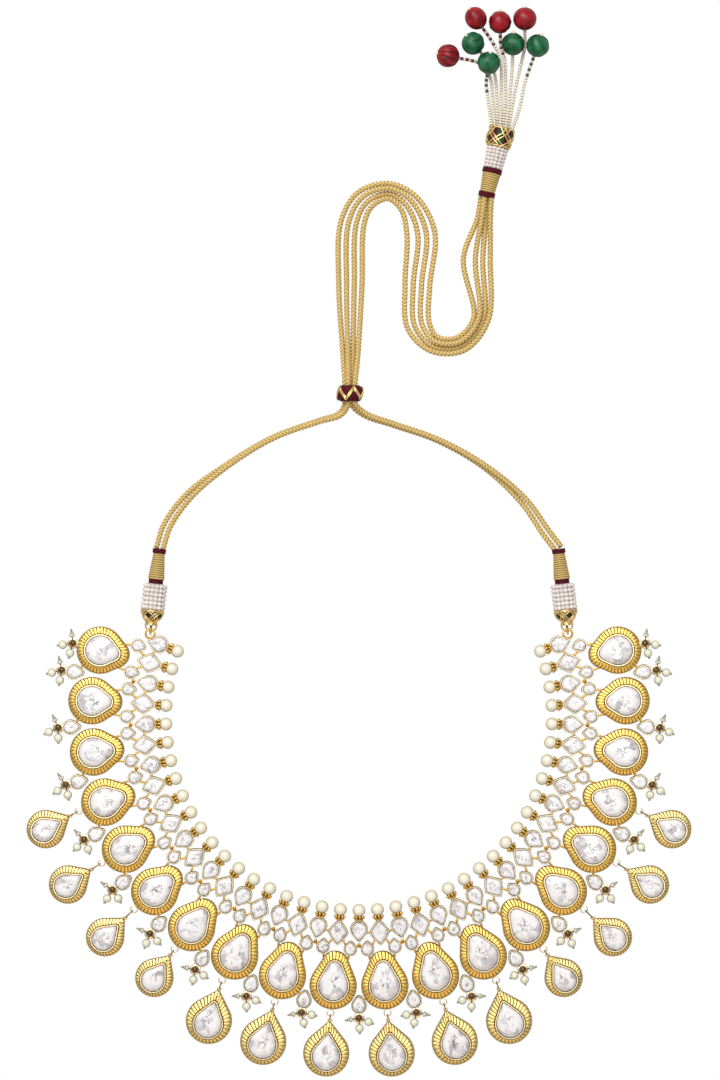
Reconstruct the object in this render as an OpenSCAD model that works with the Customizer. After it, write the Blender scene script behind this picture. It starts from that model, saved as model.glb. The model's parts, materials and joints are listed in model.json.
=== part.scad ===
/* [Collar] */
// Radius of the row of stones along the neck
row_r = 74.9; // [74:0.1:78]
// Angle from one setting of the collar to the next
pitch = 11; // [10.9:0.05:11.1]
// Gap between a pearl and the rhombic setting behind it
pearl_gap = 1.25; // [1.1:0.05:1.4]
// Diameter of a pearl
pearl_d = 4.5; // [4.2:0.1:4.6]

/* [Large settings] */
// Gap between a rhombic setting and the tip of the large one beyond it
frame_gap = 1.9; // [1.7:0.1:2.3]
// Width of a large setting
frame_w = 16.6; // [16:0.1:16.8]
// Length of the large setting next to the middle
frame_l = 20.6; // [20:0.1:20.8]
// How much each large setting is shorter than the one before it
frame_l_step = 0.2; // [0.1:0.02:0.3]
// Width of the ridged rim
rim_w = 3.2; // [2.8:0.1:3.4]
// Height of the rim up to the tops of its ridges
rim_h = 2.3; // [2.1:0.1:2.6]
// Number of ridges round a large setting
ridges = 40; // [24:4:44]

/* [Row settings] */
// Width of an oval setting
oval_w = 6.3; // [5.9:0.1:6.4]
// Length of an oval setting
oval_l = 7.6; // [7.2:0.1:7.7]
// Width of a rhombic setting
rhomb_w = 7.3; // [6.8:0.1:7.4]
// Length of a rhombic setting
rhomb_l = 9.2; // [8.8:0.1:9.3]
// Height of the walls of the small settings
bezel_h = 2.4; // [2.2:0.1:2.6]
// Thickness of those walls
bezel_wall = 0.45; // [0.35:0.05:0.55]

/* [Outer settings] */
// Width of one of the small settings beside a rhomb
small_w = 4.8; // [4.5:0.1:4.9]
// Length of one of those small settings
small_l = 5.5; // [5.2:0.1:5.6]
// Width of the setting between two large ones
lower_w = 5.5; // [5.2:0.1:5.6]
// Length of the setting between two large ones
lower_l = 6.6; // [6.4:0.1:7]

/* [Drops] */
// Width of a large drop
drop_w = 16.2; // [15:0.2:16.6]
// Length of a large drop
drop_l = 19.4; // [18:0.2:19.8]
// Size of a small drop as a share of a large one
small_drop = 0.83; // [0.78:0.01:0.88]
// Number of ridges round a drop
drop_ridges = 36; // [24:4:40]

/* [Cords and tassel] */
// Diameter of one of the four strands
strand_d = 2.2; // [2:0.05:2.2]
// Diameter of the beaded sleeves
sleeve_d = 8.6; // [8.2:0.1:9]
// Length of a beaded sleeve at the collar
sleeve_l = 9; // [8:0.1:9.4]
// Diameter of the sliding knot
knot_d = 9.8; // [9.4:0.1:10.4]
// Length of the sliding knot along the strands
knot_l = 5.6; // [5:0.1:6]
// Diameter of a bead at the end of the tassel
bead_d = 8.2; // [7.6:0.1:8.4]
// Diameter of a string of seed beads
string_d = 1.25; // [1.2:0.05:1.3]

/* [Hidden] */

units = 10;
hinges = 9;
drops = 7;
last = units * pitch;

// Clearances
seat_gap = 0.1;
hinge_gap = 0.15;
floor_gap = 0.05;

// Heights
back_h = 0.6;
rim_base_h = rim_h - 0.5;
lip_h = rim_h + 0.5;
lip_w = 0.5;
ridge_sink = 0.4;
lip_sink = 0.2;
ridge_inset = 0.12;
ridge_under_lip = 0.35;
girdle_drop = 0.2;
pearl_z = pearl_d / 2 + seat_gap;
stone_rise = 1.2;
small_rise = 0.8;
cut_over = 1;
flank_dip = 0.02;

// Radii of the tips of the outlines, and the width of a drop's rim at its tip, round end and sides
frame_tip = 4.8;
frame_seat_tip = 2.4;
frame_tip_rim = rim_w + 0.5;
oval_tip = 0.9;
small_tip = 1;
lower_tip = 1.3;
drop_tip = 0.7;
drop_seat_tip = 0.5;
drop_tip_rim = 4.4;
drop_rim = 2.3;
drop_side_rim = 3.3;
large_seat_w = frame_w - 2 * rim_w;
large_shift = (frame_tip_rim - rim_w) / 2;
stone_inset = bezel_wall + seat_gap;
large_corners = 12;
small_corners = 8;

// Places on a unit
rhomb_r = row_r + 0.7;
pearl_ring_r = rhomb_r - rhomb_l / 2 - pearl_gap - pearl_d / 2;
frame_r = rhomb_r + rhomb_l / 2 + frame_gap + frame_l / 2;
small_r = rhomb_r + rhomb_l / 2 + 0.8;
small_side = 4.8;
small_turn = asin(small_side / small_r);
lower_r = frame_r + 8.1;
hinge_r = row_r + 5;
lug_r = 0.8;
lug_h = 0.7;
lower_lug_z = 0.3;
upper_lug_z = lower_lug_z + lug_h + hinge_gap;
lug_arm_side = 0.7;
pin_r = 0.35;
pin_sink = 0.2;
pin_head_z = upper_lug_z + lug_h + hinge_gap;
pin_head_h = 0.3;
pin_head_r = 0.65;
pearl_cap_l = 2.1;
pearl_cap_foot_r = 0.9;
pearl_cap_mouth_r = pearl_d / 2 - 0.2;
pearl_cap_from = rhomb_r - rhomb_l / 2 + 0.35;
peg_r = 0.3;
peg_sink = 0.2;
pearl_bore_r = peg_r + seat_gap;
bar_w = 0.8;
bar_h = 1.2;
bar_z = 0.2;

// Ends of the bars between settings: steps outwards and sideways from the place of the setting
ROW_BAR = [0.5, 2.6];
RHOMB_BAR = [2, 1.6];
SMALL_BAR_IN = [-0.6, -1.4];
SMALL_BAR_OUT = [1, 0];
FRAME_BAR = [3, -0.6];
LOWER_BAR = [-1.5, 0.7];
LOWER_FRAME_BAR = [5.6, 5];

// Eyes, rings and links
eye_r = 1.2;
drop_eye_r = 0.6;
wire_r = 0.22;
eye_z = 1;
link_end_r = 0.6;
ring_sink = 0.1;

// Sprays, as distances from the middle of their ring
spray_eye_r = 1.5;
spray_wire_r = 0.38;
spray_r = lower_r + lower_l / 2 + spray_eye_r - ring_sink;
spray_z = 1.6;
spray_boss_r = 0.8;
loop_r = 0.7;
loop_wire_r = 0.2;
seed_pearl_d = 3;
seed_pearl_at = 3.6;
pin_bead_at = seed_pearl_at + seed_pearl_d / 2 + 0.15;
pin_bead_r = 0.5;
cone_from = 2.3;
cone_l = 2;
cone_r = 1.25;
cone_end_r = 0.5;
cone_bead_at = seed_pearl_at + seed_pearl_d / 2;
cone_bead_r = 0.32;

// Lean of each drop from the straight line down, and length of its link, from the middle outwards
DROP_LEAN = [6, 16, 18, 35, 46, 57, 61];
LINKS = [0.7, 1, 1.4, 0.7, 2.4, 2.4, 1.6];
LARGE_DROPS = 3;
// Turn of the arms of a spray, two pearls and then a coiled cone: at the sides, and in the middle
SPRAY_ARMS = [-23, -88, 68];
MIDDLE_ARMS = [3, 68, -80];

// End fittings beside the collar, as distances from the end ring
end_r = row_r + 3.7;
end_turn = last + 1.8;
end_lean = 6.5;
end_ring_r = 1.6;
end_wire_r = 0.4;
end_ring_z = 2.1;
fit_z = sleeve_d / 2 + floor_gap;
neck_from = 2.8;
neck_r = 2;
cap_from = 4.2;
cap_to = 8.4;
cap_r = sleeve_d / 2 - 0.1;
cap_rim_l = 0.9;
core_r = 2.2;
core_in_cap = 1.6;
sleeve_from = cap_to + seat_gap;
binding_from = sleeve_from + sleeve_l + seat_gap;
binding_l = 12.3;
binding_r = 3;
binding_end_r = 2.1;
first_band_r = 2.6;
last_band_r = 2.4;
band_l = 1.6;

// Strands
strand_gap = 0.15;
touch = strand_d + strand_gap;
lie = strand_d / 2 + floor_gap / 2;
knot_side = touch / 2;
knot_x = -3.15;
knot_y = 188;
knot_z = knot_d / 2 + floor_gap;
knot_bore_r = 1.5 * strand_d + 0.05;
knot_end_r = 0.42 * knot_d;
knot_end_l = 0.25 * knot_l;
knot_lead = 1;
// Middle of the pair of strands on each side: x, y, height of the lower strand, side spacing
LEFT_ROUTE = [
    [-67, 142, 2.5, 2.4], [-59.5, 152.3, lie, 2], [-46, 163, lie, 0.8],
    [-30, 172.6, lie, 0.5], [-14, 178.4, lie, 0.5], [-6.6, 180.8, 1.8, 0.8]];
RIGHT_ROUTE = [
    [65.3, 139.5, 3, 2.4], [57.5, 150.6, lie, 2], [44, 162.5, lie, 0.8],
    [28, 171.6, lie, 0.5], [12.5, 177.1, lie, 0.5], [2, 180.8, 1.8, 0.8]];
// Middle of the four strands beyond the knot: x, y, height of the lower strands, side spacing
TAIL_ROUTE = [
    [-3, 201, lie, 1.7], [-3, 226, lie, 2.7], [-2.2, 248, lie, 2.7],
    [2.2, 256, lie, 2.3], [10.4, 258.8, lie, 1.8], [17.4, 254.6, lie, 2.3],
    [22, 244, lie, 3], [20.4, 226, lie, 2.9], [20.8, 211.8, lie, 2.6],
    [26.4, 205.3, lie, 1.8], [35.6, 205.4, lie, 1.7], [42.6, 214, lie, 1.7],
    [42, 235, lie, 2.6], [43.6, 249, 2.4, 1.5]];
// Strands that bow out to the side: row of the route, strand, distance
BOWS = [[6, 3, 0.8], [12, 0, -1.6]];

// Tassel, as distances from the start of its binding
tassel_x = 44.4;
tassel_y = 256.6;
tassel_lean = 13;
tassel_cap_l = 6.8;
tassel_cap_d = 9.8;
tassel_cap_end_r = 4.2;
tassel_z = tassel_cap_d / 2 + 2 * floor_gap;
wrap_l = 6.8;
wrap_r = 2.7;
wrap_end_r = 3.3;
tassel_first_r = 3;
tassel_last_r = 3.5;
tassel_core_r = 2.6;
tassel_core_in_cap = 1.5;
tassel_sleeve_l = 7.6;
tassel_sleeve_d = 8.2;
tassel_sleeve_from_d = 7;
tassel_wrap_end = wrap_l + 2 * band_l;
tassel_sleeve_from = tassel_wrap_end + seat_gap;
tassel_cap_from = tassel_sleeve_from + tassel_sleeve_l + seat_gap;
mouth_l = 1.2;
mouth_r = tassel_cap_d / 2 - 0.7;
mouth_wall = 0.4;
string_step = 0.95;
string_rise = 0.8;
string_tail = 0.8;
string_lie = string_d / 2 + floor_gap;
bead_lie = bead_d / 2 + floor_gap;
// Strings of seed beads from left to right: colour, x, y and height of the end bead, bends on the way to it
STRINGS = [
    ["green", [45.3, 303.3, 5.75], [[45.1, 291.5], [44.5, 296.5]]],
    ["red", [31.1, 305.9, bead_lie], [[46.7, 292], [46.1, 298], [43.6, 302.8], [40.6, 304.2]]],
    ["green", [39.8, 310.2, bead_lie], [[48.2, 292], [47.8, 298], [46.2, 303.6], [43.6, 306.2]]],
    ["red", [40.8, 319, bead_lie], [[49.7, 292], [49.4, 305], [46.4, 311.4]]],
    ["red", [49.2, 317.6, bead_lie], [[51.2, 292], [51, 304.5], [49.6, 309.6]]],
    ["green", [53.8, 310, bead_lie], [[52.8, 293], [53.6, 302]]],
    ["red", [57.9, 318.8, bead_lie], [[54.4, 293], [55.9, 300], [58, 309.6]]],
    ["green", [62.4, 309.4, bead_lie], [[56.2, 288], [57.8, 296], [59.9, 302.4]]]];

// Vertical step that keeps two strands apart when they lie closer than touching side by side
function rise(side) = sqrt(max(0, touch * touch - side * side));
function large_l(i) = frame_l - frame_l_step * (i - 1);
function axis_turn(i) = (i - 0.5) * pitch;
function polar(r, a) = [r * sin(a), row_r - r * cos(a)];
function unit_vector(v) = v / norm(v);
function eye_at(i) = frame_r + large_l(i) / 2 + eye_r;
function drop_share(i) = i > LARGE_DROPS ? small_drop : 1;

// Drop outlines: a large circle, a small one at the tip (towards -Y) and two lines that just cut both
function flank_turn(w, l, r) = asin((w / 2 - r) / (l - w / 2 - r));
function arc_edge(r, y, a, side) = [side * r * cos(a), y + r * sin(a), side * cos(a), sin(a)];
// Point on the outline and its outward normal, at share u of the way round from the tip
function drop_edge(w, l, r, u) =
    let (big = w / 2, big_y = l / 2 - big, tip_y = r - l / 2, a = flank_turn(w, l, r),
         side = u > 0.5 ? -1 : 1,
         tip_arc = r * (90 - a) * PI / 180,
         flank = (big_y - tip_y) * cos(a),
         big_arc = big * (90 + a) * PI / 180,
         s = (tip_arc + flank + big_arc) * 2 * min(u, 1 - u))
    s < tip_arc ? arc_edge(r, tip_y, s / r * 180 / PI - 90, side)
    : s > tip_arc + flank ? arc_edge(big, big_y, (s - tip_arc - flank) / big * 180 / PI - a, side)
    : [side * (r * cos(a) + (s - tip_arc) * sin(a)), tip_y - r * sin(a) + (s - tip_arc) * cos(a),
       side * cos(a), -sin(a)];
function drop_points(w, l, r, n) = [for (k = [0 : n - 1]) let (e = drop_edge(w, l, r, k / n)) [e[0], e[1]]];
function rhomb_points(w, l) = [
    [0, -l / 2], [w * 0.3, -l * 0.26], [w / 2, 0], [w * 0.3, l * 0.26],
    [0, l / 2], [-w * 0.3, l * 0.26], [-w / 2, 0], [-w * 0.3, -l * 0.26]];

module drop_shape(w, l, r) {
    a = flank_turn(w, l, r);
    big = w / 2;
    big_y = l / 2 - big;
    tip_y = r - l / 2;
    translate([0, big_y]) circle(big, $fn = 64);
    translate([0, tip_y]) circle(r, $fn = 32);
    polygon([for (s = [-1, 1], e = s < 0 ? [[big, big_y], [r, tip_y]] : [[r, tip_y], [big, big_y]])
        [s * (e[0] - flank_dip) * cos(a), e[1] - (e[0] - flank_dip) * sin(a)]]);
}
module raised(z0, z1) translate([0, 0, z0]) linear_extrude(z1 - z0) children();
module at(r, a) translate([0, row_r, 0]) rotate([0, 0, a]) translate([0, -r, 0]) children();
module about_middle(a) translate([0, row_r, 0]) rotate([0, 0, a]) translate([0, -row_r, 0]) children();
module mirrored(side) mirror([side < 0 ? 1 : 0, 0, 0]) children();
module torus(r, wire) rotate_extrude($fn = 32) translate([r, 0]) circle(wire, $fn = 16);
module post(z0, z1, r) translate([0, 0, z0]) cylinder(h = z1 - z0, r = r, $fn = 24);
module bar(p, q, z = bar_z, h = bar_h) translate([p[0], p[1], z])
    rotate([0, 0, atan2(q[1] - p[1], q[0] - p[0])])
        translate([0, -bar_w / 2, 0]) cube([norm(q - p), bar_w, h]);
// Turns a shape that is drawn up Z to run along the unit vector d
module pointing(d) rotate([0, acos(d[2]), atan2(d[1], d[0])]) children();
// Turns a shape that is drawn up Z to run along +Y from distance d
module along(d, z) translate([0, d, z]) rotate([-90, 0, 0]) children();
module turning(points) rotate_extrude($fn = 64) polygon(points);

// Flat-backed cut stone: a flat girdle, then facets up to a table
module cut_stone(outline, girdle_z, top_z, table = 0.55) {
    n = len(outline);
    corners = concat(
        [for (p = outline) [p[0], p[1], back_h + seat_gap]],
        [for (p = outline) [p[0], p[1], girdle_z]],
        [for (p = outline) [p[0] * table, p[1] * table, top_z]]);
    polyhedron(corners, concat(
        [[for (k = [0 : n - 1]) k]],
        [for (j = [0, 1], k = [0 : n - 1])
            [(j + 1) * n + k, (j + 1) * n + (k + 1) % n, j * n + (k + 1) % n, j * n + k]],
        [[for (k = [n - 1 : -1 : 0]) 2 * n + k]]));
}

// Radial ridges from the outer edge to the lip round the stone
module ridge_shape(w, l, tip, n, seat_w, seat_l, seat_tip, shift)
    polygon([for (k = [0 : n - 1], step = [0, 0.5, 0.55, 0.95])
        let (u = (k + step) / n,
             e = step < 0.52 ? drop_edge(w, l, tip, u) : drop_edge(seat_w, seat_l, seat_tip, u),
             out = step < 0.52 ? -ridge_inset : ridge_under_lip)
        [e[0] + out * e[2], e[1] + out * e[3] + (step < 0.52 ? 0 : shift)]]);
module ridged_setting(w, l, tip, n, seat_w, seat_l, seat_tip, shift) {
    raised(0, rim_base_h) drop_shape(w, l, tip);
    raised(rim_base_h - ridge_sink, rim_h) ridge_shape(w, l, tip, n, seat_w, seat_l, seat_tip, shift);
    translate([0, shift, 0]) raised(rim_base_h - lip_sink, lip_h)
        drop_shape(seat_w + 2 * lip_w, seat_l + 2 * lip_w, seat_tip + lip_w);
}

// Large settings, tip towards the neck
function large_seat_l(i) = large_l(i) - rim_w - frame_tip_rim;
module large_setting(i) rotate([0, 0, 180]) ridged_setting(frame_w, large_l(i), frame_tip, ridges,
    large_seat_w, large_seat_l(i), frame_seat_tip, large_shift);
module large_seat(i) rotate([0, 0, 180]) translate([0, large_shift, 0])
    raised(back_h, lip_h + cut_over) drop_shape(large_seat_w, large_seat_l(i), frame_seat_tip);
module large_cut(w, l, tip)
    cut_stone(drop_points(w - 2 * seat_gap, l - 2 * seat_gap, tip - seat_gap, large_corners),
        lip_h - girdle_drop, lip_h + stone_rise);
module large_stone(i) rotate([0, 0, 180]) translate([0, large_shift, 0])
    large_cut(large_seat_w, large_seat_l(i), frame_seat_tip);

// Small settings of a unit
module oval_shape(inset = 0) drop_shape(oval_w - 2 * inset, oval_l - 2 * inset, oval_tip - inset);
module small_shape(inset = 0) rotate(180)
    drop_shape(small_w - 2 * inset, small_l - 2 * inset, small_tip - inset);
module lower_shape(inset = 0) rotate(180)
    drop_shape(lower_w - 2 * inset, lower_l - 2 * inset, lower_tip - inset);
// A wall of even thickness takes more off the ends of a rhomb than off its sides
function rhomb_inside(inset) = rhomb_points(rhomb_w - 2.6 * inset, rhomb_l - 3 * inset);
module rhomb_shape(inset = 0) polygon(rhomb_inside(inset));
module seat() raised(back_h, bezel_h + cut_over) children();
module small_cut(outline) cut_stone(outline, bezel_h, bezel_h + small_rise);
module pear_cut(w, l, tip)
    small_cut(drop_points(w - 2 * stone_inset, l - 2 * stone_inset, tip - stone_inset, small_corners));
module oval_stone() pear_cut(oval_w, oval_l, oval_tip);
module small_stone() rotate([0, 0, 180]) pear_cut(small_w, small_l, small_tip);
module lower_stone() rotate([0, 0, 180]) pear_cut(lower_w, lower_l, lower_tip);
module rhomb_stone() small_cut(rhomb_inside(stone_inset));

// Flower cap that cups a pearl, with the peg that holds it
module pearl_cap(a) at(pearl_ring_r, a) translate([0, 0, pearl_z]) {
    foot = pearl_cap_from - pearl_ring_r;
    difference() {
        translate([0, -foot, 0]) rotate([-90, 0, 0])
            cylinder(h = pearl_cap_l, r1 = pearl_cap_foot_r, r2 = pearl_cap_mouth_r, $fn = 32);
        sphere(d = pearl_d + 2 * seat_gap, $fn = 48);
    }
    translate([0, peg_sink - foot, 0]) rotate([-90, 0, 0])
        cylinder(h = foot - peg_sink, r = peg_r, $fn = 16);
}

// A hinge joins two units: a lower lug with a headed pin on one, an upper lug round the pin on the other
module lower_lug() {
    at(hinge_r, -pitch / 2) {
        post(lower_lug_z, lower_lug_z + lug_h, lug_r);
        post(lower_lug_z + pin_sink, pin_head_z + pin_sink, pin_r);
        post(pin_head_z, pin_head_z + pin_head_h, pin_head_r);
    }
    lug_arm(-1, lower_lug_z);
}
module upper_lug(s) {
    at(hinge_r, s * pitch / 2) post(upper_lug_z, upper_lug_z + lug_h, lug_r);
    lug_arm(s, upper_lug_z);
}
module lug_arm(s, z)
    bar(polar(hinge_r, s * pitch / 2), small_point(s, [0, lug_arm_side]), z, lug_h);
module spray_eye() translate([0, 0, spray_z]) torus(spray_eye_r, spray_wire_r);
function end_spray_r() = frame_r + large_l(units) / 2 + spray_eye_r;

function sideways(r, side) = polar(r, asin(side / r));
function beside_oval(r, side, s) = polar(r, s * (pitch / 2 - asin(side / r)));
function small_point(s, step) = sideways(small_r + step[0], s * (small_side + step[1]));

module unit_solids(i, middle) {
    out = pitch / 2;
    at(rhomb_r, 0) raised(0, bezel_h) rhomb_shape();
    at(frame_r, 0) large_setting(i);
    pearl_cap(0);
    for (s = middle ? [-1, 1] : [1]) {
        at(row_r, s * out) raised(0, bezel_h) oval_shape();
        pearl_cap(s * out);
        bar(sideways(row_r + ROW_BAR[0], s * ROW_BAR[1]), beside_oval(row_r + ROW_BAR[0], ROW_BAR[1], s));
    }
    for (s = [-1, 1]) {
        at(small_r, s * small_turn) raised(0, bezel_h) small_shape();
        bar(sideways(rhomb_r + RHOMB_BAR[0], s * RHOMB_BAR[1]), small_point(s, SMALL_BAR_IN));
        bar(small_point(s, SMALL_BAR_OUT),
            sideways(frame_r - large_l(i) / 2 + FRAME_BAR[0], s * (small_side + FRAME_BAR[1])));
    }
    if (i > 1 || middle) {
        at(lower_r, -out) raised(0, bezel_h) lower_shape();
        bar(beside_oval(lower_r + LOWER_BAR[0], LOWER_BAR[1], -1),
            sideways(frame_r + LOWER_FRAME_BAR[0], -LOWER_FRAME_BAR[1]));
        at(spray_r, -out) spray_eye();
    }
    if (i <= drops) at(eye_at(i), 0) translate([0, 0, eye_z]) torus(eye_r, wire_r);
    if (i < units) upper_lug(1);
    if (i == units) at(end_spray_r(), 0) spray_eye();
    if (middle) upper_lug(-1);
    else lower_lug();
}
module unit_seats(i, middle) {
    at(frame_r, 0) large_seat(i);
    at(rhomb_r, 0) seat() rhomb_shape(bezel_wall);
    for (s = middle ? [-1, 1] : [1]) at(row_r, s * pitch / 2) seat() oval_shape(bezel_wall);
    for (s = [-1, 1]) at(small_r, s * small_turn) seat() small_shape(bezel_wall);
    if (i > 1 || middle) at(lower_r, -pitch / 2) seat() lower_shape(bezel_wall);
    for (s = middle ? [-1, 1] : i < units ? [1] : [])
        at(hinge_r, s * pitch / 2) post(0, bezel_h + cut_over, pin_r + seat_gap);
}
module unit(side, i) color("goldenrod") mirrored(side) {
    middle = side > 0 && i == 1;
    about_middle(axis_turn(i)) difference() {
        unit_solids(i, middle);
        unit_seats(i, middle);
    }
    if (i == units) at(end_r, end_turn) translate([0, 0, end_ring_z]) torus(end_ring_r, end_wire_r);
}

// Drops
module hanging(side, i) mirrored(side) translate(concat(polar(eye_at(i), axis_turn(i)), 0))
    rotate([0, 0, DROP_LEAN[i - 1]]) children();
function drop_eye_at(i) = eye_r + LINKS[i - 1] + drop_eye_r;
function drop_centre(i) = drop_eye_at(i) + drop_eye_r - ring_sink + drop_share(i) * drop_l / 2;
function drop_seat_w(i) = drop_share(i) * (drop_w - 2 * drop_side_rim);
function drop_seat_l(i) = drop_share(i) * (drop_l - drop_rim - drop_tip_rim);
function drop_shift(i) = drop_share(i) * (drop_tip_rim - drop_rim) / 2;
module drop_setting(side, i) color("gold") hanging(side, i) {
    translate([0, -drop_eye_at(i), eye_z]) torus(drop_eye_r, wire_r);
    translate([0, -drop_centre(i), 0]) rotate([0, 0, 180]) difference() {
        ridged_setting(drop_share(i) * drop_w, drop_share(i) * drop_l, drop_tip, drop_ridges,
            drop_seat_w(i), drop_seat_l(i), drop_seat_tip, drop_shift(i));
        translate([0, drop_shift(i), 0]) raised(back_h, lip_h + cut_over)
            drop_shape(drop_seat_w(i), drop_seat_l(i), drop_seat_tip);
    }
}
module drop_stone(side, i) hanging(side, i) translate([0, -drop_centre(i), 0]) rotate([0, 0, 180])
    translate([0, drop_shift(i), 0]) large_cut(drop_seat_w(i), drop_seat_l(i), drop_seat_tip);
// Upright link with round ends that holds both eyes
module drop_link(side, i) hanging(side, i) translate([0, -eye_r - LINKS[i - 1] / 2, eye_z]) rotate([0, 90, 0])
    for (s = [-1, 1]) {
        translate([0, s * LINKS[i - 1] / 2, 0]) rotate([0, 0, s > 0 ? 0 : 180])
            rotate_extrude(angle = 180, $fn = 32) translate([link_end_r, 0]) circle(wire_r, $fn = 16);
        translate([s * link_end_r, -LINKS[i - 1] / 2, 0]) rotate([-90, 0, 0])
            cylinder(h = LINKS[i - 1], r = wire_r, $fn = 16);
    }

// Stones and pearls of the whole collar
module both_sides() for (side = [-1, 1]) mirrored(side) children();
module large_stones() color("ghostwhite") both_sides()
    for (i = [1 : units]) at(frame_r, axis_turn(i)) large_stone(i);
module drop_stones() color("ghostwhite")
    for (side = [-1, 1], i = [1 : drops]) drop_stone(side, i);
module small_stones() color("ghostwhite") both_sides()
    for (i = [1 : units], s = [-1, 1]) at(small_r, axis_turn(i) + s * small_turn) small_stone();
module row_ovals() color("ghostwhite")
    for (k = [-units : units]) at(row_r, k * pitch) oval_stone();
module row_rhombs() color("ghostwhite") both_sides()
    for (i = [1 : units]) at(rhomb_r, axis_turn(i)) rhomb_stone();
module lower_stones() color("ghostwhite")
    for (k = [-hinges : hinges]) at(lower_r, k * pitch) lower_stone();
module pearls() color("ivory") for (k = [-2 * units : 2 * units])
    at(pearl_ring_r, k * pitch / 2) translate([0, 0, pearl_z]) difference() {
        sphere(d = pearl_d, $fn = 48);
        translate([0, pearl_bore_r, 0]) rotate([90, 0, 0])
            cylinder(h = pearl_d, r = pearl_bore_r, $fn = 16);
    }

// Sprays: two seed pearls and a coiled cone on pins whose loops share one ring
module spray(arms) translate([0, 0, spray_z]) {
    sphere(spray_boss_r, $fn = 24);
    for (k = [0 : 2]) rotate([0, 0, arms[k]]) {
        translate([0, -spray_eye_r, 0]) rotate([0, 90, 0]) torus(loop_r, loop_wire_r);
        rotate([90, 0, 0]) post(spray_eye_r + loop_r, cone_bead_at, loop_wire_r);
        if (k < 2) {
            translate([0, -seed_pearl_at, 0]) sphere(d = seed_pearl_d, $fn = 32);
            translate([0, -pin_bead_at, 0]) sphere(pin_bead_r, $fn = 24);
        }
        else {
            translate([0, -cone_from, 0]) rotate([90, 0, 0])
                cylinder(h = cone_l, r1 = cone_r, r2 = cone_end_r, $fn = 24);
            translate([0, -cone_bead_at, 0]) sphere(cone_bead_r, $fn = 24);
        }
    }
}
module pearl_sprays() color("ivory") {
    at(spray_r, 0) spray(MIDDLE_ARMS);
    both_sides() {
        for (k = [1 : hinges]) at(spray_r, k * pitch) spray(SPRAY_ARMS);
        at(end_spray_r(), axis_turn(units)) spray(SPRAY_ARMS);
    }
}
module drop_links() color("darkgoldenrod") for (side = [-1, 1], i = [1 : drops]) drop_link(side, i);

// Fittings between the collar and the cords
module fitting(side) mirrored(side) translate(concat(polar(end_r, end_turn), 0))
    rotate([0, 0, end_lean]) children();
module end_cap(side) color("darkgoldenrod") fitting(side) {
    whole = cap_to - neck_from;
    floor_at = whole - core_in_cap - seat_gap;
    translate([0, end_ring_r, end_ring_z]) rotate([0, 90, 0]) torus(end_ring_r, end_wire_r);
    along(neck_from, fit_z) turning([
        [0, 0], [neck_r, 0], [neck_r, cap_from - neck_from], [cap_r, whole - cap_rim_l], [cap_r, whole],
        [core_r + seat_gap, whole], [core_r + seat_gap, floor_at], [0, floor_at]]);
}
module bored(l, r) difference() {
    children();
    translate([0, 0, -cut_over]) cylinder(h = l + 2 * cut_over, r = r, $fn = 48);
}
module end_sleeve(side) color("mistyrose") fitting(side) along(sleeve_from, fit_z)
    bored(sleeve_l, core_r + seat_gap) cylinder(h = sleeve_l, d = sleeve_d, $fn = 64);
module end_binding(side) color("peru") fitting(side) along(cap_to - core_in_cap, fit_z) {
    shoulder = binding_from - cap_to + core_in_cap;
    whole = shoulder + binding_l;
    turning([
        [0, 0], [core_r, 0], [core_r, shoulder], [first_band_r, shoulder], [first_band_r, shoulder + band_l],
        [binding_r, shoulder + band_l], [binding_end_r, whole - band_l], [last_band_r, whole - band_l],
        [last_band_r, whole], [0, whole]]);
}

// Cords: two strands leave each side, all four pass the sliding knot and run on to the tassel
function fitting_point(side, d) = let (p = polar(end_r, end_turn))
    [side * (p[0] - d * sin(end_lean)), p[1] + d * cos(end_lean)];
function tassel_point(d) = [tassel_x + d * sin(tassel_lean), tassel_y + d * cos(tassel_lean)];
function side_rows(side) = concat(
    [concat(fitting_point(side, binding_from + binding_l + seat_gap / 2), [fit_z, touch])],
    side < 0 ? LEFT_ROUTE : RIGHT_ROUTE);
function tail_rows() = concat(
    [for (s = [-1, 1])
        [knot_x, knot_y + s * (knot_l / 2 + knot_lead), knot_z - rise(knot_side) / 2, knot_side]],
    TAIL_ROUTE,
    [concat(tassel_point(-seat_gap / 2), [tassel_z - rise(knot_side) / 2, knot_side])]);
function row_side(rows, k) = let (
    d = unit_vector([for (j = [0, 1]) rows[min(k + 1, len(rows) - 1)][j] - rows[max(k - 1, 0)][j]]))
    [d[1], -d[0]];
// Place of a strand at one row: lane counts from the middle, and every second strand lies higher
function lane_point(rows, k, lane, high, bow) = let (row = rows[k], side = row_side(rows, k))
    [row[0] + side[0] * (lane * row[3] + bow), row[1] + side[1] * (lane * row[3] + bow),
     row[2] + (high ? rise(row[3]) : 0)];
function bow_of(strand, k) = let (hit = [for (b = BOWS) if (b[0] == k - 2 && b[1] == strand) b[2]])
    len(hit) > 0 ? hit[0] : 0;
function strand_route(strand) =
    let (side = strand < 2 ? -1 : 1, rows = concat(side_rows(side), tail_rows()), high = strand % 2 == 1,
         first = len(side_rows(side)))
    [for (k = [0 : len(rows) - 1])
        lane_point(rows, k, k < first ? strand % 2 - 0.5 : strand - 1.5, high,
            k < first ? 0 : bow_of(strand, k - first))];

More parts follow.
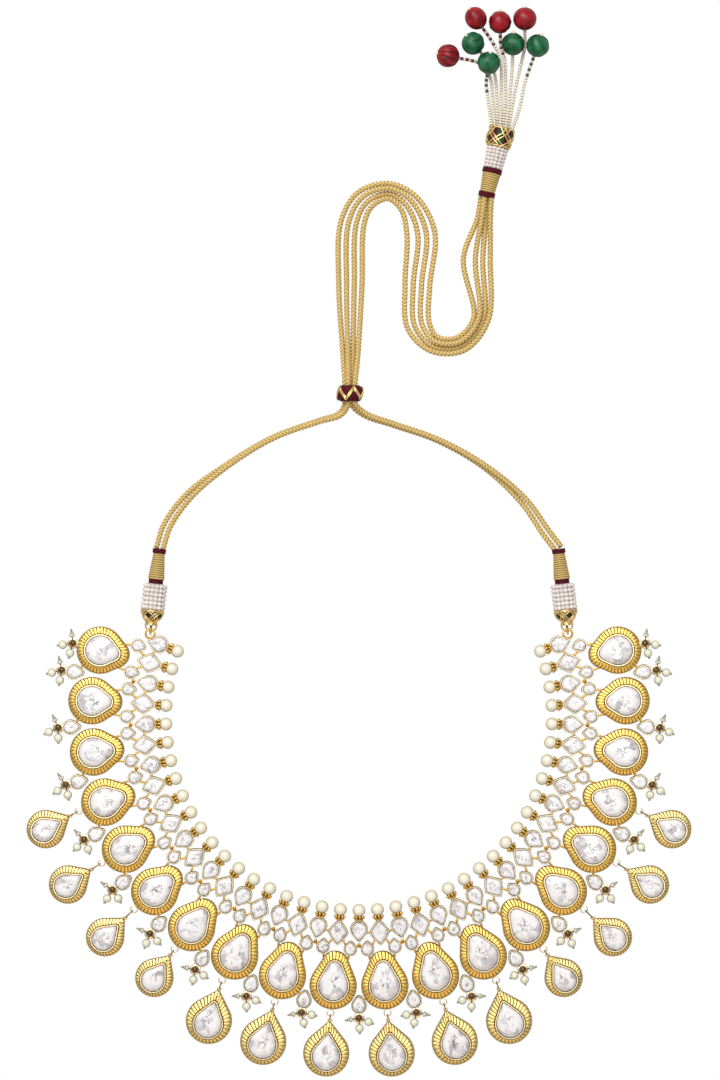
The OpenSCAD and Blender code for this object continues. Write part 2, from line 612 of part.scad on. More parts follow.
// Round tube through the points of a route
module tube(route, d, sides = 8) {
    n = len(route);
    rings = [for (k = [0 : n - 1])
        let (t = unit_vector(route[min(k + 1, n - 1)] - route[max(k - 1, 0)]),
             side = unit_vector(cross(t, [0, 0, 1])), up = cross(side, t))
        for (j = [0 : sides - 1]) let (a = 360 * (j + 0.5) / sides)
            route[k] + d / 2 * (cos(a) * side + sin(a) * up)];
    polyhedron(rings, concat(
        [[for (j = [0 : sides - 1]) j]],
        [for (k = [0 : n - 2], j = [0 : sides - 1])
            [k * sides + j, (k + 1) * sides + j, (k + 1) * sides + (j + 1) % sides,
             k * sides + (j + 1) % sides]],
        [[for (j = [sides - 1 : -1 : 0]) (n - 1) * sides + j]]));
}
module strand(k) color("wheat") tube(strand_route(k), strand_d);
module slide_knot() color("maroon") translate([knot_x, knot_y - knot_l / 2, 0]) along(0, knot_z)
    bored(knot_l, knot_bore_r) turning([
        [0, 0], [knot_end_r, 0], [knot_d / 2, knot_end_l], [knot_d / 2, knot_l - knot_end_l],
        [knot_end_r, knot_l], [0, knot_l]]);

// Tassel
module tassel() translate([tassel_x, tassel_y, 0]) rotate([0, 0, -tassel_lean]) children();
module tassel_binding() color("peru") tassel() along(0, tassel_z) turning([
    [0, 0], [tassel_first_r, 0], [tassel_first_r, band_l], [wrap_r, band_l], [wrap_end_r, band_l + wrap_l],
    [tassel_last_r, band_l + wrap_l], [tassel_last_r, tassel_wrap_end], [tassel_core_r, tassel_wrap_end],
    [tassel_core_r, tassel_cap_from + tassel_core_in_cap], [0, tassel_cap_from + tassel_core_in_cap]]);
module tassel_sleeve() color("mistyrose") tassel() along(tassel_sleeve_from, tassel_z)
    bored(tassel_sleeve_l, tassel_core_r + seat_gap)
        cylinder(h = tassel_sleeve_l, d1 = tassel_sleeve_from_d, d2 = tassel_sleeve_d, $fn = 64);
module tassel_cap() color("darkgoldenrod") tassel() along(tassel_cap_from, tassel_z) {
    floor_at = tassel_core_in_cap + seat_gap;
    turning([
        [tassel_core_r + seat_gap, 0], [tassel_cap_end_r, 0], [tassel_cap_d / 2, 0.3 * tassel_cap_l],
        [tassel_cap_d / 2, 0.7 * tassel_cap_l], [mouth_r + mouth_wall, tassel_cap_l],
        [mouth_r, tassel_cap_l], [mouth_r, tassel_cap_l - mouth_l], [0, tassel_cap_l - mouth_l],
        [0, floor_at], [tassel_core_r + seat_gap, floor_at]]);
}
function string_start(k) =
    let (p = tassel_point(tassel_cap_from + tassel_cap_l - mouth_l + seat_gap), s = (k - 3.5) * string_step)
    [p[0] + s * cos(tassel_lean), p[1] - s * sin(tassel_lean),
     tassel_z + (k % 2 == 0 ? -string_rise : string_rise)];
function string_route(k) = concat([string_start(k)],
    [for (p = STRINGS[k][2]) concat(p, string_lie)]);
// Direction in which a string runs through its end bead
function bead_run(k) = let (route = string_route(k)) unit_vector(STRINGS[k][1] - route[len(route) - 1]);
module tassel_strings() color("antiquewhite") for (k = [0 : len(STRINGS) - 1])
    tube(concat(string_route(k), [STRINGS[k][1] + (bead_d / 2 + string_tail) * bead_run(k)]), string_d);
module tassel_beads(name) for (k = [0 : len(STRINGS) - 1]) if (STRINGS[k][0] == name)
    translate(STRINGS[k][1]) pointing(bead_run(k)) translate([0, 0, -bead_d / 2])
        bored(bead_d, string_d / 2 + seat_gap) translate([0, 0, bead_d / 2]) sphere(d = bead_d, $fn = 64);
module tassel_red_beads() color("firebrick") tassel_beads("red");
module tassel_green_beads() color("seagreen") tassel_beads("green");

function numbered(prefix, side, i) = str(prefix, side < 0 ? "_l" : "_r", i < 10 ? "0" : "", i);
for (side = [-1, 1], i = [1 : units])
    unit(side, i);
for (side = [-1, 1], i = [1 : drops])
    drop_setting(side, i);
for (k = [0 : 3]) strand(k);
large_stones();
drop_stones();
small_stones();
row_ovals();
row_rhombs();
lower_stones();
pearls();
pearl_sprays();
drop_links();
end_cap(-1);  // end_cap_l
end_cap(1);  // end_cap_r
end_sleeve(-1);  // end_sleeve_l
end_sleeve(1);  // end_sleeve_r
end_binding(-1);  // end_binding_l
end_binding(1);  // end_binding_r
slide_knot();
tassel_binding();
tassel_sleeve();
tassel_cap();
tassel_strings();
tassel_red_beads();
tassel_green_beads();
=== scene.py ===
"""Models a kundan necklace: a collar of foil-backed stones in gold, braided cords and a beaded tassel."""
import functools
import json
import math
import random

import bmesh
import bpy
from mathutils import Matrix, Vector

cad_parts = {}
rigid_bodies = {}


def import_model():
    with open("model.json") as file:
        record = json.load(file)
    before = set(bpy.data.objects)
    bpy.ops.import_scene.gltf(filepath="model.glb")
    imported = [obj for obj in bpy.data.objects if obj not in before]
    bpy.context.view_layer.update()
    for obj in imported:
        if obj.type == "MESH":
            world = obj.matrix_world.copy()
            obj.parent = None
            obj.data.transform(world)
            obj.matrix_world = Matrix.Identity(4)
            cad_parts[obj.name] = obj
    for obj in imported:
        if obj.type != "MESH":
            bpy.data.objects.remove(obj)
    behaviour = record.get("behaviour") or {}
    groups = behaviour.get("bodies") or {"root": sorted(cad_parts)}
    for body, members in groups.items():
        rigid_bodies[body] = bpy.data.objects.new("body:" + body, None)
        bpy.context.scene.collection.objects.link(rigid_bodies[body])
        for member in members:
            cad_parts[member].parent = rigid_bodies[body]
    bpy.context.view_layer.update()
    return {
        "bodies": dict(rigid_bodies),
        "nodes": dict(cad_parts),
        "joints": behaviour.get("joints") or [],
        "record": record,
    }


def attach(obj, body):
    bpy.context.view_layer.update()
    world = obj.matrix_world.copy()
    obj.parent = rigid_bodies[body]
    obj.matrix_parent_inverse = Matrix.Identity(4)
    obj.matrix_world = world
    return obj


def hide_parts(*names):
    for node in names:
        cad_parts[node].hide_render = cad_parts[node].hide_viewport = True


bl_info = {
    "name": "Kundan necklace",
    "version": (1, 0, 0),
    "blender": (4, 5, 0),
    "location": "View3D > Sidebar > Necklace",
    "description": "Models a kundan collar on braided cords with a sliding knot and a beaded tassel",
    "category": "Add Mesh",
}

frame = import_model()

# Everything is laid out in millimetres and scaled to metres as a piece is finished
MM = 0.001
WELD = 1e-4
NIL = 1e-6

# The collar
ROW_R = 74.9
PITCH = 11
PEARL_RING_R = 67.5
PEARL_D = 4.5
UNITS = 10
HINGES = 9
DROPS = 7
LAST = UNITS * PITCH

# Large settings
FRAME_R = 92.4
FRAME_W = 16.6
FRAME_L = 20.6
FRAME_L_STEP = 0.2
FRAME_TIP = 4.8
SEAT_TIP = 2.4
RIM_W = 3.2
RIM_TIP_W = RIM_W + 0.5
RIM_H = 2.3
LIP_H = RIM_H + 0.5
LIP_W = 0.62
BACK_H = 0.6
SEAT_GAP = 0.1
FLOOR_GAP = 0.05
# DARK_DEPTH is the groove depth at which the painted shade in a groove is full
TOOTH, GROOVE_SHARE, DARK_DEPTH = 0.04, 0.16, 0.1
# Rows of a rim: way in from its edge to the lip, height, depth of the grooves, tone of the painted shade
RIM_ROWS = (
    (0, 0, 0, 0.9), (0, 0.5 * RIM_H, 0, 0.8), (0.02, 0.68 * RIM_H, 0.1, 0.5),
    (0.08, 0.78 * RIM_H, 0.12, 0.05), (0.3, 0.87 * RIM_H, 0.12, 0), (0.6, 0.95 * RIM_H, 0.12, 0),
    (0.9, RIM_H, 0.1, 0.05), (0.96, 0.94 * RIM_H, 0, 0.9), (1, BACK_H, 0, 1))
# Rows of a lip: distance outside the seat, height, tone of the painted shade
LIP_ROWS = (
    (LIP_W + 0.02, BACK_H, 1), (LIP_W, RIM_H - 0.1, 0.9), (0.92 * LIP_W, LIP_H - 0.15, 0.05),
    (0.76 * LIP_W, LIP_H, 0), (0.24 * LIP_W, LIP_H, 0), (0.1 * LIP_W, LIP_H - 0.12, 0.25),
    (0.01, LIP_H - 0.5, 1), (0.01, BACK_H, 1), (LIP_W + 0.02, BACK_H, 1))

# Small settings
BEZEL_H = 2.4
BEZEL_WALL = 0.45
# Rows of the wall: distance in from its edge, height, tone of the painted shade
BEZEL_ROWS = (
    (0, 0, 0.6), (0, 0.5 * BEZEL_H, 0.3), (0, 0.66 * BEZEL_H, 0.8), (0.08, 0.82 * BEZEL_H, 0.8),
    (0.15, 0.96 * BEZEL_H, 0.1), (0.2, BEZEL_H, 0), (BEZEL_WALL - 0.08, BEZEL_H, 0),
    (BEZEL_WALL, BEZEL_H - 0.1, 0.8), (BEZEL_WALL, BACK_H, 1))
RHOMB_W, RHOMB_L = 7.3, 9.2
RHOMB_R = ROW_R + 0.7
OVAL = (6.3, 7.6, 0.9)
SMALL = (4.8, 5.5, 1.0)
LOWER = (5.5, 6.6, 1.3)
SMALL_R = RHOMB_R + RHOMB_L / 2 + 0.8
SMALL_SIDE = 4.8
SMALL_TURN = math.degrees(math.asin(SMALL_SIDE / SMALL_R))
LOWER_R = FRAME_R + 8.1
PEARL_Z = PEARL_D / 2 + SEAT_GAP
PEARL_CAP_FROM = RHOMB_R - RHOMB_L / 2 + 0.35

# Rows of a stone's crown: share of the outline, share of the way up to the table, step round
CROWN_ROWS = ((1, 0, 0), (0.93, 0.35, 0.5), (0.78, 0.75, 0), (0.58, 1, 0.5))

# Flower caps: rows of the cup as radius, height and tone of the painted shade, and the middle line of a petal
PETALS, PETAL_R, PETAL_TIP_R = 8, 0.34, 0.48
PETAL_CUP = (
    (0.2, 0, 1), (0.8, 0, 0.6), (0.95, 0.2, 0), (0.6, 0.45, 0.6), (0.9, 1.1, 1), (1.3, 1.5, 1), (0.3, 1.2, 1))
PETAL_CLAW = ((0.5, 0.2), (1.1, 0.5), (1.5, 0.95), (1.62, 1.5))

# Bars and hinges
BAR_W, BAR_H, BAR_Z = 0.8, 1.2, 0.2
# BAR_TONE darkens the bars towards the groove colour as painted shade between the settings
BAR_EASE, BAR_TONE = 0.14, 0.5
ROW_BAR = (0.5, 2.6)
RHOMB_BAR = (2, 1.6)
SMALL_BAR_IN = (-0.6, -1.4)
SMALL_BAR_OUT = (1, 0)
FRAME_BAR = (3, -0.6)
LOWER_BAR = (-1.5, 0.7)
LOWER_FRAME_BAR = (5.6, 5)
HINGE_R = ROW_R + 5
LUG_R, LUG_H, LUG_Z, HINGE_GAP = 0.8, 0.7, 0.3, 0.15
LUG_ARM_SIDE = 0.7
PIN_R = 0.35
PIN_HEAD_R = 0.65

# Eyes, links and sprays
EYE_R, DROP_EYE_R, WIRE_R, EYE_Z = 1.2, 0.6, 0.22, 1.0
LINK_END_R, RING_SINK = 0.6, 0.1
LINKS = (0.7, 1, 1.4, 0.7, 2.4, 2.4, 1.6)
SPRAY_EYE_R, SPRAY_WIRE_R, SPRAY_Z = 1.5, 0.46, 1.6
SPRAY_R = LOWER_R + LOWER[1] / 2 + SPRAY_EYE_R - RING_SINK
LOOP_R, LOOP_WIRE_R = 0.7, 0.2
SEED_PEARL_D, SEED_PEARL_AT = 3.0, 3.6
SPRAY_BOSS_R, PIN_BEAD_R = 1.05, 0.5
# Discs of a cone: distance from the middle of the spray, radius and half thickness
CONE_DISCS = ((2.85, 1.05, 0.6), (3.65, 0.72, 0.34), (4.2, 0.52, 0.3), (4.7, 0.34, 0.3))
SPRAY_ARMS = (-23, -88, 68)
MIDDLE_ARMS = (3, 68, -80)

# Drops
DROP_W, DROP_L, SMALL_DROP, LARGE_DROPS = 16.2, 19.4, 0.83, 3
DROP_TIP, DROP_SEAT_TIP = 0.7, 0.5
DROP_RIM, DROP_SIDE_RIM, DROP_TIP_RIM = 2.3, 3.3, 4.4
DROP_LEAN = (6, 16, 18, 35, 46, 57, 61)
PIT_R, PIT_WIRE_R, PIT_Z = 0.42, 0.16, 0.93 * RIM_H

# End fittings
END_R, END_TURN, END_LEAN = ROW_R + 3.7, LAST + 1.8, 6.5
END_RING_R, END_WIRE_R, END_RING_Z = 1.6, 0.4, 2.1
END_SIDE_WIRE_R = 0.3
# Side wires of an end loop: x, distance from the collar, height
END_WIRES = ((0.35, 0.9, 2.1), (1.3, 1.5, 2.3), (1.9, 2.4, 2.8), (1.95, 3.4, 3.4), (1.7, 4.4, 4.0))
SLEEVE_D, SLEEVE_L = 8.6, 9.0
FIT_Z = SLEEVE_D / 2 + FLOOR_GAP
CAP_FROM, CAP_TO = 4.2, 8.4
# Rows of a woven cap: radius and distance from its start
END_CAP_ROWS = (
    (2.0, 0), (2.9, 0.8), (3.6, 1.8), (4.05, 2.8), (SLEEVE_D / 2 - 0.1, 3.5), (SLEEVE_D / 2 - 0.1, 4.2))
WOVEN_WIRE_R, LATTICE_PAIR = 0.28, 0.07
FOOT_WIRE_R, FOOT_IN, FOOT_FROM, FOOT_STEP = 0.22, 0.24, 0.2, 0.4
# Core and seed beads of a sleeve
CORE_R, CORE_SINK, CORE_GAP = 0.3, 0.7, 0.05
SEED_R, SEED_SINK, SEED_SPREAD, SEED_JITTER = 0.63, 0.65, 1.04, 0.04
SLEEVE_FROM = CAP_TO + SEAT_GAP
BINDING_FROM = SLEEVE_FROM + SLEEVE_L + SEAT_GAP
BINDING_L, BAND_L = 12.3, 1.6
# Wound thread: length of a coil and depth between two coils
BAND_THREAD, GOLD_THREAD = (0.5, 0.1), (0.76, 0.2)

# Cords and knot
STRAND_D = 2.2
TOUCH = STRAND_D + 0.15
LIE = STRAND_D / 2 + FLOOR_GAP / 2
BRAID_R, BRAID_SWING, BRAID_STEP = 0.78, 0.14, 0.42
YARN_HALF_W, YARN_HALF_T = 0.36, 0.17
CURVE_STEPS = 24
KNOT_X, KNOT_Y, KNOT_D, KNOT_L = -3.15, 188, 9.8, 5.6
KNOT_Z = KNOT_D / 2 + FLOOR_GAP
KNOT_SIDE = TOUCH / 2
KNOT_LEAD = 1
KNOT_WAIST = 1.2
KNOT_COILS, KNOT_PEAKS, KNOT_WIRE_R, KNOT_BEAD_R = 12, 5, 0.24, 0.62
# Middle of the pair of strands on each side: x, y, height of the lower strand, side spacing
LEFT_ROUTE = (
    (-67, 142, 2.5, 2.4), (-59.5, 152.3, LIE, 2), (-46, 163, LIE, 0.8),
    (-30, 172.6, LIE, 0.5), (-14, 178.4, LIE, 0.5), (-6.6, 180.8, 1.8, 0.8))
RIGHT_ROUTE = (
    (65.3, 139.5, 3, 2.4), (57.5, 150.6, LIE, 2), (44, 162.5, LIE, 0.8),
    (28, 171.6, LIE, 0.5), (12.5, 177.1, LIE, 0.5), (2, 180.8, 1.8, 0.8))
# Middle of the four strands beyond the knot, in the same columns
TAIL_ROUTE = (
    (-3, 201, LIE, 1.7), (-3, 226, LIE, 2.7), (-2.2, 248, LIE, 2.7),
    (2.2, 256, LIE, 2.3), (10.4, 258.8, LIE, 1.8), (17.4, 254.6, LIE, 2.3),
    (22, 244, LIE, 3), (20.4, 226, LIE, 2.9), (20.8, 211.8, LIE, 2.6),
    (26.4, 205.3, LIE, 1.8), (35.6, 205.4, LIE, 1.7), (42.6, 214, LIE, 1.7),
    (42, 235, LIE, 2.6), (43.6, 249, 2.4, 1.5))
# Strands that bow out to the side: (row of the route, strand) and distance
BOWS = {(6, 3): 0.8, (12, 0): -1.6}

# Tassel, as distances from the start of its binding
TASSEL_X, TASSEL_Y, TASSEL_LEAN = 44.4, 256.6, 13
TASSEL_CAP_L, TASSEL_CAP_D = 6.8, 9.8
TASSEL_Z = TASSEL_CAP_D / 2 + 2 * FLOOR_GAP
# Rows of its woven cap: radius and distance from its start
TASSEL_CAP_ROWS = (
    (4.2, 0), (4.6, 1.0), (TASSEL_CAP_D / 2, 2.1), (TASSEL_CAP_D / 2, 3.4), (TASSEL_CAP_D / 2, 4.6),
    (4.65, TASSEL_CAP_L))
WRAP_L = 6.8
TASSEL_SLEEVE_L, TASSEL_SLEEVE_D = 7.6, 8.2
TASSEL_SLEEVE_FROM_D = 7
TASSEL_WRAP_END = WRAP_L + 2 * BAND_L
TASSEL_SLEEVE_FROM = TASSEL_WRAP_END + SEAT_GAP
TASSEL_CAP_FROM = TASSEL_SLEEVE_FROM + TASSEL_SLEEVE_L + SEAT_GAP
MOUTH_L, STRING_STEP, STRING_RISE = 1.2, 0.95, 0.8
STRING_D, SEED_STEP, TIP_BEAD_R, TIP_GAP = 1.25, 1.04, 0.62, 0.2
BEAD_D, COLOURED_BEADS = 8.2, 8
# Radius and half length of an end bead
OVAL_END, ROUND_END = (3.75, 4.1), (4.1, 4.0)
STRING_LIE = STRING_D / 2 + FLOOR_GAP
BEAD_LIE = BEAD_D / 2 + FLOOR_GAP
# Strings from left to right: style of the end bead, its place, bends on the way to it, beads before it
STRINGS = (
    ("green carved", (45.3, 303.3, 5.75), ((45.1, 291.5), (44.5, 296.5)), "green"),
    ("red ribbed", (31.1, 305.9, BEAD_LIE), ((46.7, 292), (46.1, 298), (43.6, 302.8), (40.6, 304.2)), "red"),
    ("green spiral", (39.8, 310.2, BEAD_LIE), ((48.2, 292), (47.8, 298), (46.2, 303.6), (43.6, 306.2)),
     "cream"),
    ("red oval", (40.8, 319, BEAD_LIE), ((49.7, 292), (49.4, 305), (46.4, 311.4)), "red"),
    ("red faceted", (49.2, 317.6, BEAD_LIE), ((51.2, 292), (51, 304.5), (49.6, 309.6)), "red"),
    ("green carved", (53.8, 310, BEAD_LIE), ((52.8, 293), (53.6, 302)), "cream"),
    ("red plain", (57.9, 318.8, BEAD_LIE), ((54.4, 293), (55.9, 300), (58, 309.6)), "cream"),
    ("green spiral", (62.4, 309.4, BEAD_LIE), ((56.2, 288), (57.8, 296), (59.9, 302.4)), "green"))

# The photograph's view, straight down
VIEW_X, VIEW_Y, VIEW_H = 0.35, 136.85, 378
CAMERA_UP = 1.6
SENSOR = 36

# Softboxes: name, place and aim in metres, size, watts and colour
SOFTBOXES = (
    ("overhead", (0, 0.6, 1.95), (0, MM * VIEW_Y, 0), (1.6, 1.5), 15, (1, 1, 1)),
    ("warm", (0, -0.95, 1.6), (0, 0, 0), (1.6, 0.5), 2.6, (1, 0.6, 0.22)),
    ("key", (-0.35, 0.95, 0.9), (0, 0.1, 0), (0.7, 0.7), 7, (1, 0.98, 0.95)))
SKY_STRENGTH = 0.42
GROUND_BOUNCE = (0.62, 0.57, 0.5)


def polar(r, turn):
    """Point at radius r from the collar's centre, turned from straight down towards +X."""
    a = math.radians(turn)
    return Vector((r * math.sin(a), ROW_R - r * math.cos(a), 0))


def turned(angle, axis="Z"):
    return Matrix.Rotation(math.radians(angle), 4, axis)


def facing(direction):
    return direction.to_track_quat("Z", "Y").to_matrix().to_4x4()


def at(r, turn, z=0):
    """Frame at radius r on the collar, whose -Y points outwards."""
    return Matrix.Translation((0, ROW_R, 0)) @ turned(turn) @ Matrix.Translation((0, -r, z))


def mirrored(side):
    return Matrix.Scale(-1 if side < 0 else 1, 4, (1, 0, 0))


def letter(side):
    return "l" if side < 0 else "r"


def lifted(x, y, z):
    return Matrix.Translation((x, y, z))


HALF_TURN = turned(180)


def axis_turn(i):
    return (i - 0.5) * PITCH


def large_l(i):
    return FRAME_L - FRAME_L_STEP * (i - 1)


def eye_at(i):
    return FRAME_R + large_l(i) / 2 + EYE_R


def drop_share(i):
    return SMALL_DROP if i > LARGE_DROPS else 1


def drop_eye_at(i):
    return EYE_R + LINKS[i - 1] + DROP_EYE_R


def drop_centre(i):
    return drop_eye_at(i) + DROP_EYE_R - RING_SINK + drop_share(i) * DROP_L / 2


def hanging(side, i):
    """Frame at the eye of a large setting, whose -Y runs down the drop."""
    return mirrored(side) @ Matrix.Translation(polar(eye_at(i), axis_turn(i))) @ turned(DROP_LEAN[i - 1])


def fitting(side):
    return mirrored(side) @ Matrix.Translation(polar(END_R, END_TURN)) @ turned(END_LEAN)


def along(distance, z):
    """Turns a shape that is drawn up Z to run along +Y."""
    return lifted(0, distance, z) @ turned(-90, "X")


def tassel():
    return lifted(TASSEL_X, TASSEL_Y, 0) @ turned(-TASSEL_LEAN)


def pear(w, l, tip, inset=0.0, shift=0.0):
    """Outline of two circles and their common tangents, tip towards -Y, as a function of the way round."""
    w, l, tip = w - 2 * inset, l - 2 * inset, max(tip - inset, 0.05)
    big = w / 2
    big_y, tip_y = l / 2 - big, tip - l / 2
    a = math.asin((big - tip) / (l - big - tip))
    tip_arc = tip * (math.pi / 2 - a)
    flank = (big_y - tip_y) * math.cos(a)
    whole = tip_arc + flank + big * (math.pi / 2 + a)

    def point(u):
        side = -1 if u > 0.5 else 1
        s = whole * 2 * min(u, 1 - u)
        if s < tip_arc:
            t = s / tip - math.pi / 2
            return Vector((side * tip * math.cos(t), tip_y + tip * math.sin(t) + shift))
        if s > tip_arc + flank:
            t = (s - tip_arc - flank) / big - a
            return Vector((side * big * math.cos(t), big_y + big * math.sin(t) + shift))
        s -= tip_arc
        return Vector((side * (tip * math.cos(a) + s * math.sin(a)),
                       tip_y - tip * math.sin(a) + s * math.cos(a) + shift))

    return point


def rhomb(w, l, inset=0.0, power=1.2):
    """Outline of a rhomb with slightly bowed sides; a wall of even width takes more off its ends."""
    a, b = (w - 2.6 * inset) / 2, (l - 3 * inset) / 2

    def bowed(half, share):
        return half * math.copysign(abs(share) ** (2 / power), share)

    def point(u):
        return Vector((bowed(a, math.sin(math.tau * u)), bowed(b, -math.cos(math.tau * u))))

    return point


# Parts are small meshes drawn once, in millimetres; pieces are put together from copies of them


def assembly():
    bm = bmesh.new()
    bm.verts.layers.float.new("tone")
    bm.loops.layers.uv.new("UVMap")
    return bm


def part(shape):
    """Turns a function that shapes a bmesh into one that returns a mesh, kept for its arguments."""
    @functools.lru_cache(maxsize=None)
    def made(*arguments, **named):
        bm = assembly()
        shape(bm, *arguments, **named)
        bmesh.ops.recalc_face_normals(bm, faces=bm.faces)
        mesh = bpy.data.meshes.new(shape.__name__)
        bm.to_mesh(mesh)
        bm.free()
        return mesh

    return made


def skin(bm, around, rings, place, slot=0, smooth=True):
    """Rolls a grid into a closed skin: place(ring, u) gives each point and its tone; open ends are filled."""
    made = bmesh.ops.create_grid(bm, x_segments=around, y_segments=len(rings) - 1, size=1)["verts"]
    tone = bm.verts.layers.float["tone"]
    for v in made:
        u = (v.co.x + 1) / 2 % 1
        place_at, value = place(rings[round((v.co.y + 1) / 2 * (len(rings) - 1))], u)
        v.co = place_at
        v[tone] = value
    bmesh.ops.remove_doubles(bm, verts=made, dist=WELD)
    kept = [v for v in made if v.is_valid]
    rims = list({e for v in kept for e in v.link_edges if e.is_boundary})
    if rims:
        bmesh.ops.holes_fill(bm, edges=rims, sides=0)
    for f in {f for v in kept for f in v.link_faces}:
        f.material_index = slot
        f.smooth = smooth


def walled(bm, around, rings, slot=0):
    """Skin through rings of (outline, height, tone)."""
    def place(ring, u):
        outline, z, tone = ring
        p = outline(u)
        return (p.x, p.y, z), tone

    skin(bm, around, rings, place, slot)


def turning(bm, profile, around, slot=0):
    """Skin of revolution round Z through (radius, height, tone) rows."""
    def place(ring, u):
        r, z, tone = ring
        return (r * math.cos(math.tau * u), r * math.sin(math.tau * u), z), tone

    skin(bm, around, profile, place, slot)


def torus(bm, radius, wire, stretch=0.0, steps=24, sides=7, z=0.0):
    """Ring round Z at height z, drawn out along Y by stretch."""
    def place(k, u):
        a, b = math.tau * k / steps, math.tau * u
        r = radius + wire * math.cos(b)
        y = r * math.sin(a) + math.copysign(stretch / 2, math.sin(a)) if abs(math.sin(a)) > NIL else 0
        return (r * math.cos(a), y, z + wire * math.sin(b)), 0.0

    skin(bm, sides, range(steps + 1), place)


def ball(bm, radius, place=(0, 0, 0), around=16, rows=10, stretch=(1, 1, 1), slot=0, tone=0.0):
    made = bmesh.ops.create_uvsphere(bm, u_segments=around, v_segments=rows, radius=radius)["verts"]
    layer = bm.verts.layers.float["tone"]
    bmesh.ops.scale(bm, vec=stretch, verts=made)
    bmesh.ops.translate(bm, vec=place, verts=made)
    for v in made:
        v[layer] = tone
    for f in {f for v in made for f in v.link_faces}:
        f.smooth = True
        f.material_index = slot


def rod(bm, start, end, radius, sides=12):
    """Round bar between two points."""
    start, end = Vector(start), Vector(end)
    run = end - start
    made = bmesh.ops.create_cone(
        bm, cap_ends=True, segments=sides, radius1=radius, radius2=radius, depth=run.length,
        matrix=Matrix.Translation((start + end) / 2) @ facing(run))["verts"]
    for f in {f for v in made for f in v.link_faces}:
        f.smooth = True


def bar(bm, start, end, low=BAR_Z, height=BAR_H):
    """Flat bar with eased edges from one point to another."""
    run = end - start
    matrix = (lifted(*((start + end) / 2).xy, low + height / 2)
              @ Matrix.Rotation(math.atan2(run.y, run.x), 4, "Z")
              @ Matrix.Diagonal((run.length, BAR_W, height, 1)))
    made = bmesh.ops.create_cube(bm, size=1, matrix=matrix)["verts"]
    edges = list({e for v in made for e in v.link_edges})
    eased = bmesh.ops.bevel(bm, geom=edges, offset=BAR_EASE, segments=2, profile=0.5, affect="EDGES",
                            material=-1)
    layer = bm.verts.layers.float["tone"]
    # Painted shade between the settings
    for v in eased["verts"]:
        v[layer] = BAR_TONE


def path_frames(path):
    """Point, sideways, upward and forward direction all along a path."""
    last = len(path) - 1
    frames = []
    for k, p in enumerate(path):
        run = (path[min(k + 1, last)] - path[max(k - 1, 0)]).normalized()
        side = run.cross(Vector((0, 0, 1)))
        side = side.normalized() if side.length > NIL else Vector((1, 0, 0))
        frames.append((p, side, side.cross(run), run))
    return frames


def tube(bm, path, radius, sides=8, slot=0):
    """Round tube through a list of points."""
    def place(ring, u):
        p, side, up, _ = ring
        a = math.tau * (u + 0.5 / sides)
        return p + radius * (math.cos(a) * side + math.sin(a) * up), 0.0

    skin(bm, sides, path_frames(path), place, slot)


def add_part(bm, mesh, matrix, tone=None, slot=None):
    """Adds a copy of a part, moved by matrix; tone and slot are written over the copy's own."""
    made = mesh.copy()
    made.transform(matrix)
    if matrix.determinant() < 0:
        made.flip_normals()
    if tone is not None:
        made.attributes["tone"].data.foreach_set("value", [tone] * len(made.vertices))
    if slot is not None:
        made.polygons.foreach_set("material_index", [slot] * len(made.polygons))
    bm.from_mesh(made)
    bpy.data.meshes.remove(made)


def piece(name, bm, materials, nodes, crease=40):
    """Finishes a bmesh as an object in metres that rides on the root body and stands for CAD nodes."""
    bmesh.ops.scale(bm, vec=(MM, MM, MM), verts=bm.verts)
    mesh = bpy.data.meshes.new(name)
    bm.to_mesh(mesh)
    bm.free()
    mesh.set_sharp_from_angle(angle=math.radians(crease))
    for m in materials:
        mesh.materials.append(m)
    made = bpy.data.objects.new(name, mesh)
    bpy.context.scene.collection.objects.link(made)
    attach(made, "root")
    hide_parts(*nodes)
    return made


# Materials


def add(tree, kind, inputs=None, **options):
    """Adds a node; an input is a value or another node's output socket."""
    made = tree.nodes.new(kind)
    for key, value in options.items():
        setattr(made, key, value)
    for key, value in (inputs or {}).items():
        if isinstance(value, bpy.types.NodeSocket):
            tree.links.new(value, made.inputs[key])
        else:
            made.inputs[key].default_value = value
    return made


def math_node(tree, operation, a, b, **options):
    return add(tree, "ShaderNodeMath", {0: a, 1: b}, operation=operation, **options).outputs[0]


def blank(name):
    """New material: its node tree and its surface shader."""
    made = bpy.data.materials.new(name)
    made.use_nodes = True
    return made, made.node_tree, made.node_tree.nodes["Principled BSDF"]


def object_point(tree):
    return add(tree, "ShaderNodeTexCoord").outputs["Object"]


def tone_of(tree):
    return add(tree, "ShaderNodeAttribute", attribute_name="tone").outputs["Fac"]


def ramp(tree, fac, *stops):
    """Colour ramp through (place, colour) stops; a grey is one number."""
    made = add(tree, "ShaderNodeValToRGB", {"Fac": fac})
    elements = made.color_ramp.elements
    while len(elements) < len(stops):
        elements.new(0.5)
    for element, (place, colour) in zip(elements, stops):
        element.position = place
        element.color = (*colour, 1) if isinstance(colour, (tuple, list)) else (colour, colour, colour, 1)
    return made.outputs["Color"]


def mixed(tree, fac, a, b):
    made = add(tree, "ShaderNodeMix", data_type="RGBA", blend_type="MIX", clamp_factor=True)
    for key, value in ((0, fac), (6, a), (7, b)):
        if isinstance(value, bpy.types.NodeSocket):
            tree.links.new(value, made.inputs[key])
        else:
            made.inputs[key].default_value = (*value, 1) if isinstance(value, (tuple, list)) else value
    return made.outputs[2]


def coloured(tree, shader, fac, a, b):
    """Gives the shader a colour that goes from a to b."""
    tree.links.new(mixed(tree, fac, a, b), shader.inputs["Base Color"])


def noise(tree, point, scale, detail=3.0, roughness=0.5):
    return add(tree, "ShaderNodeTexNoise",
               {"Vector": point, "Scale": scale, "Detail": detail, "Roughness": roughness}).outputs["Fac"]


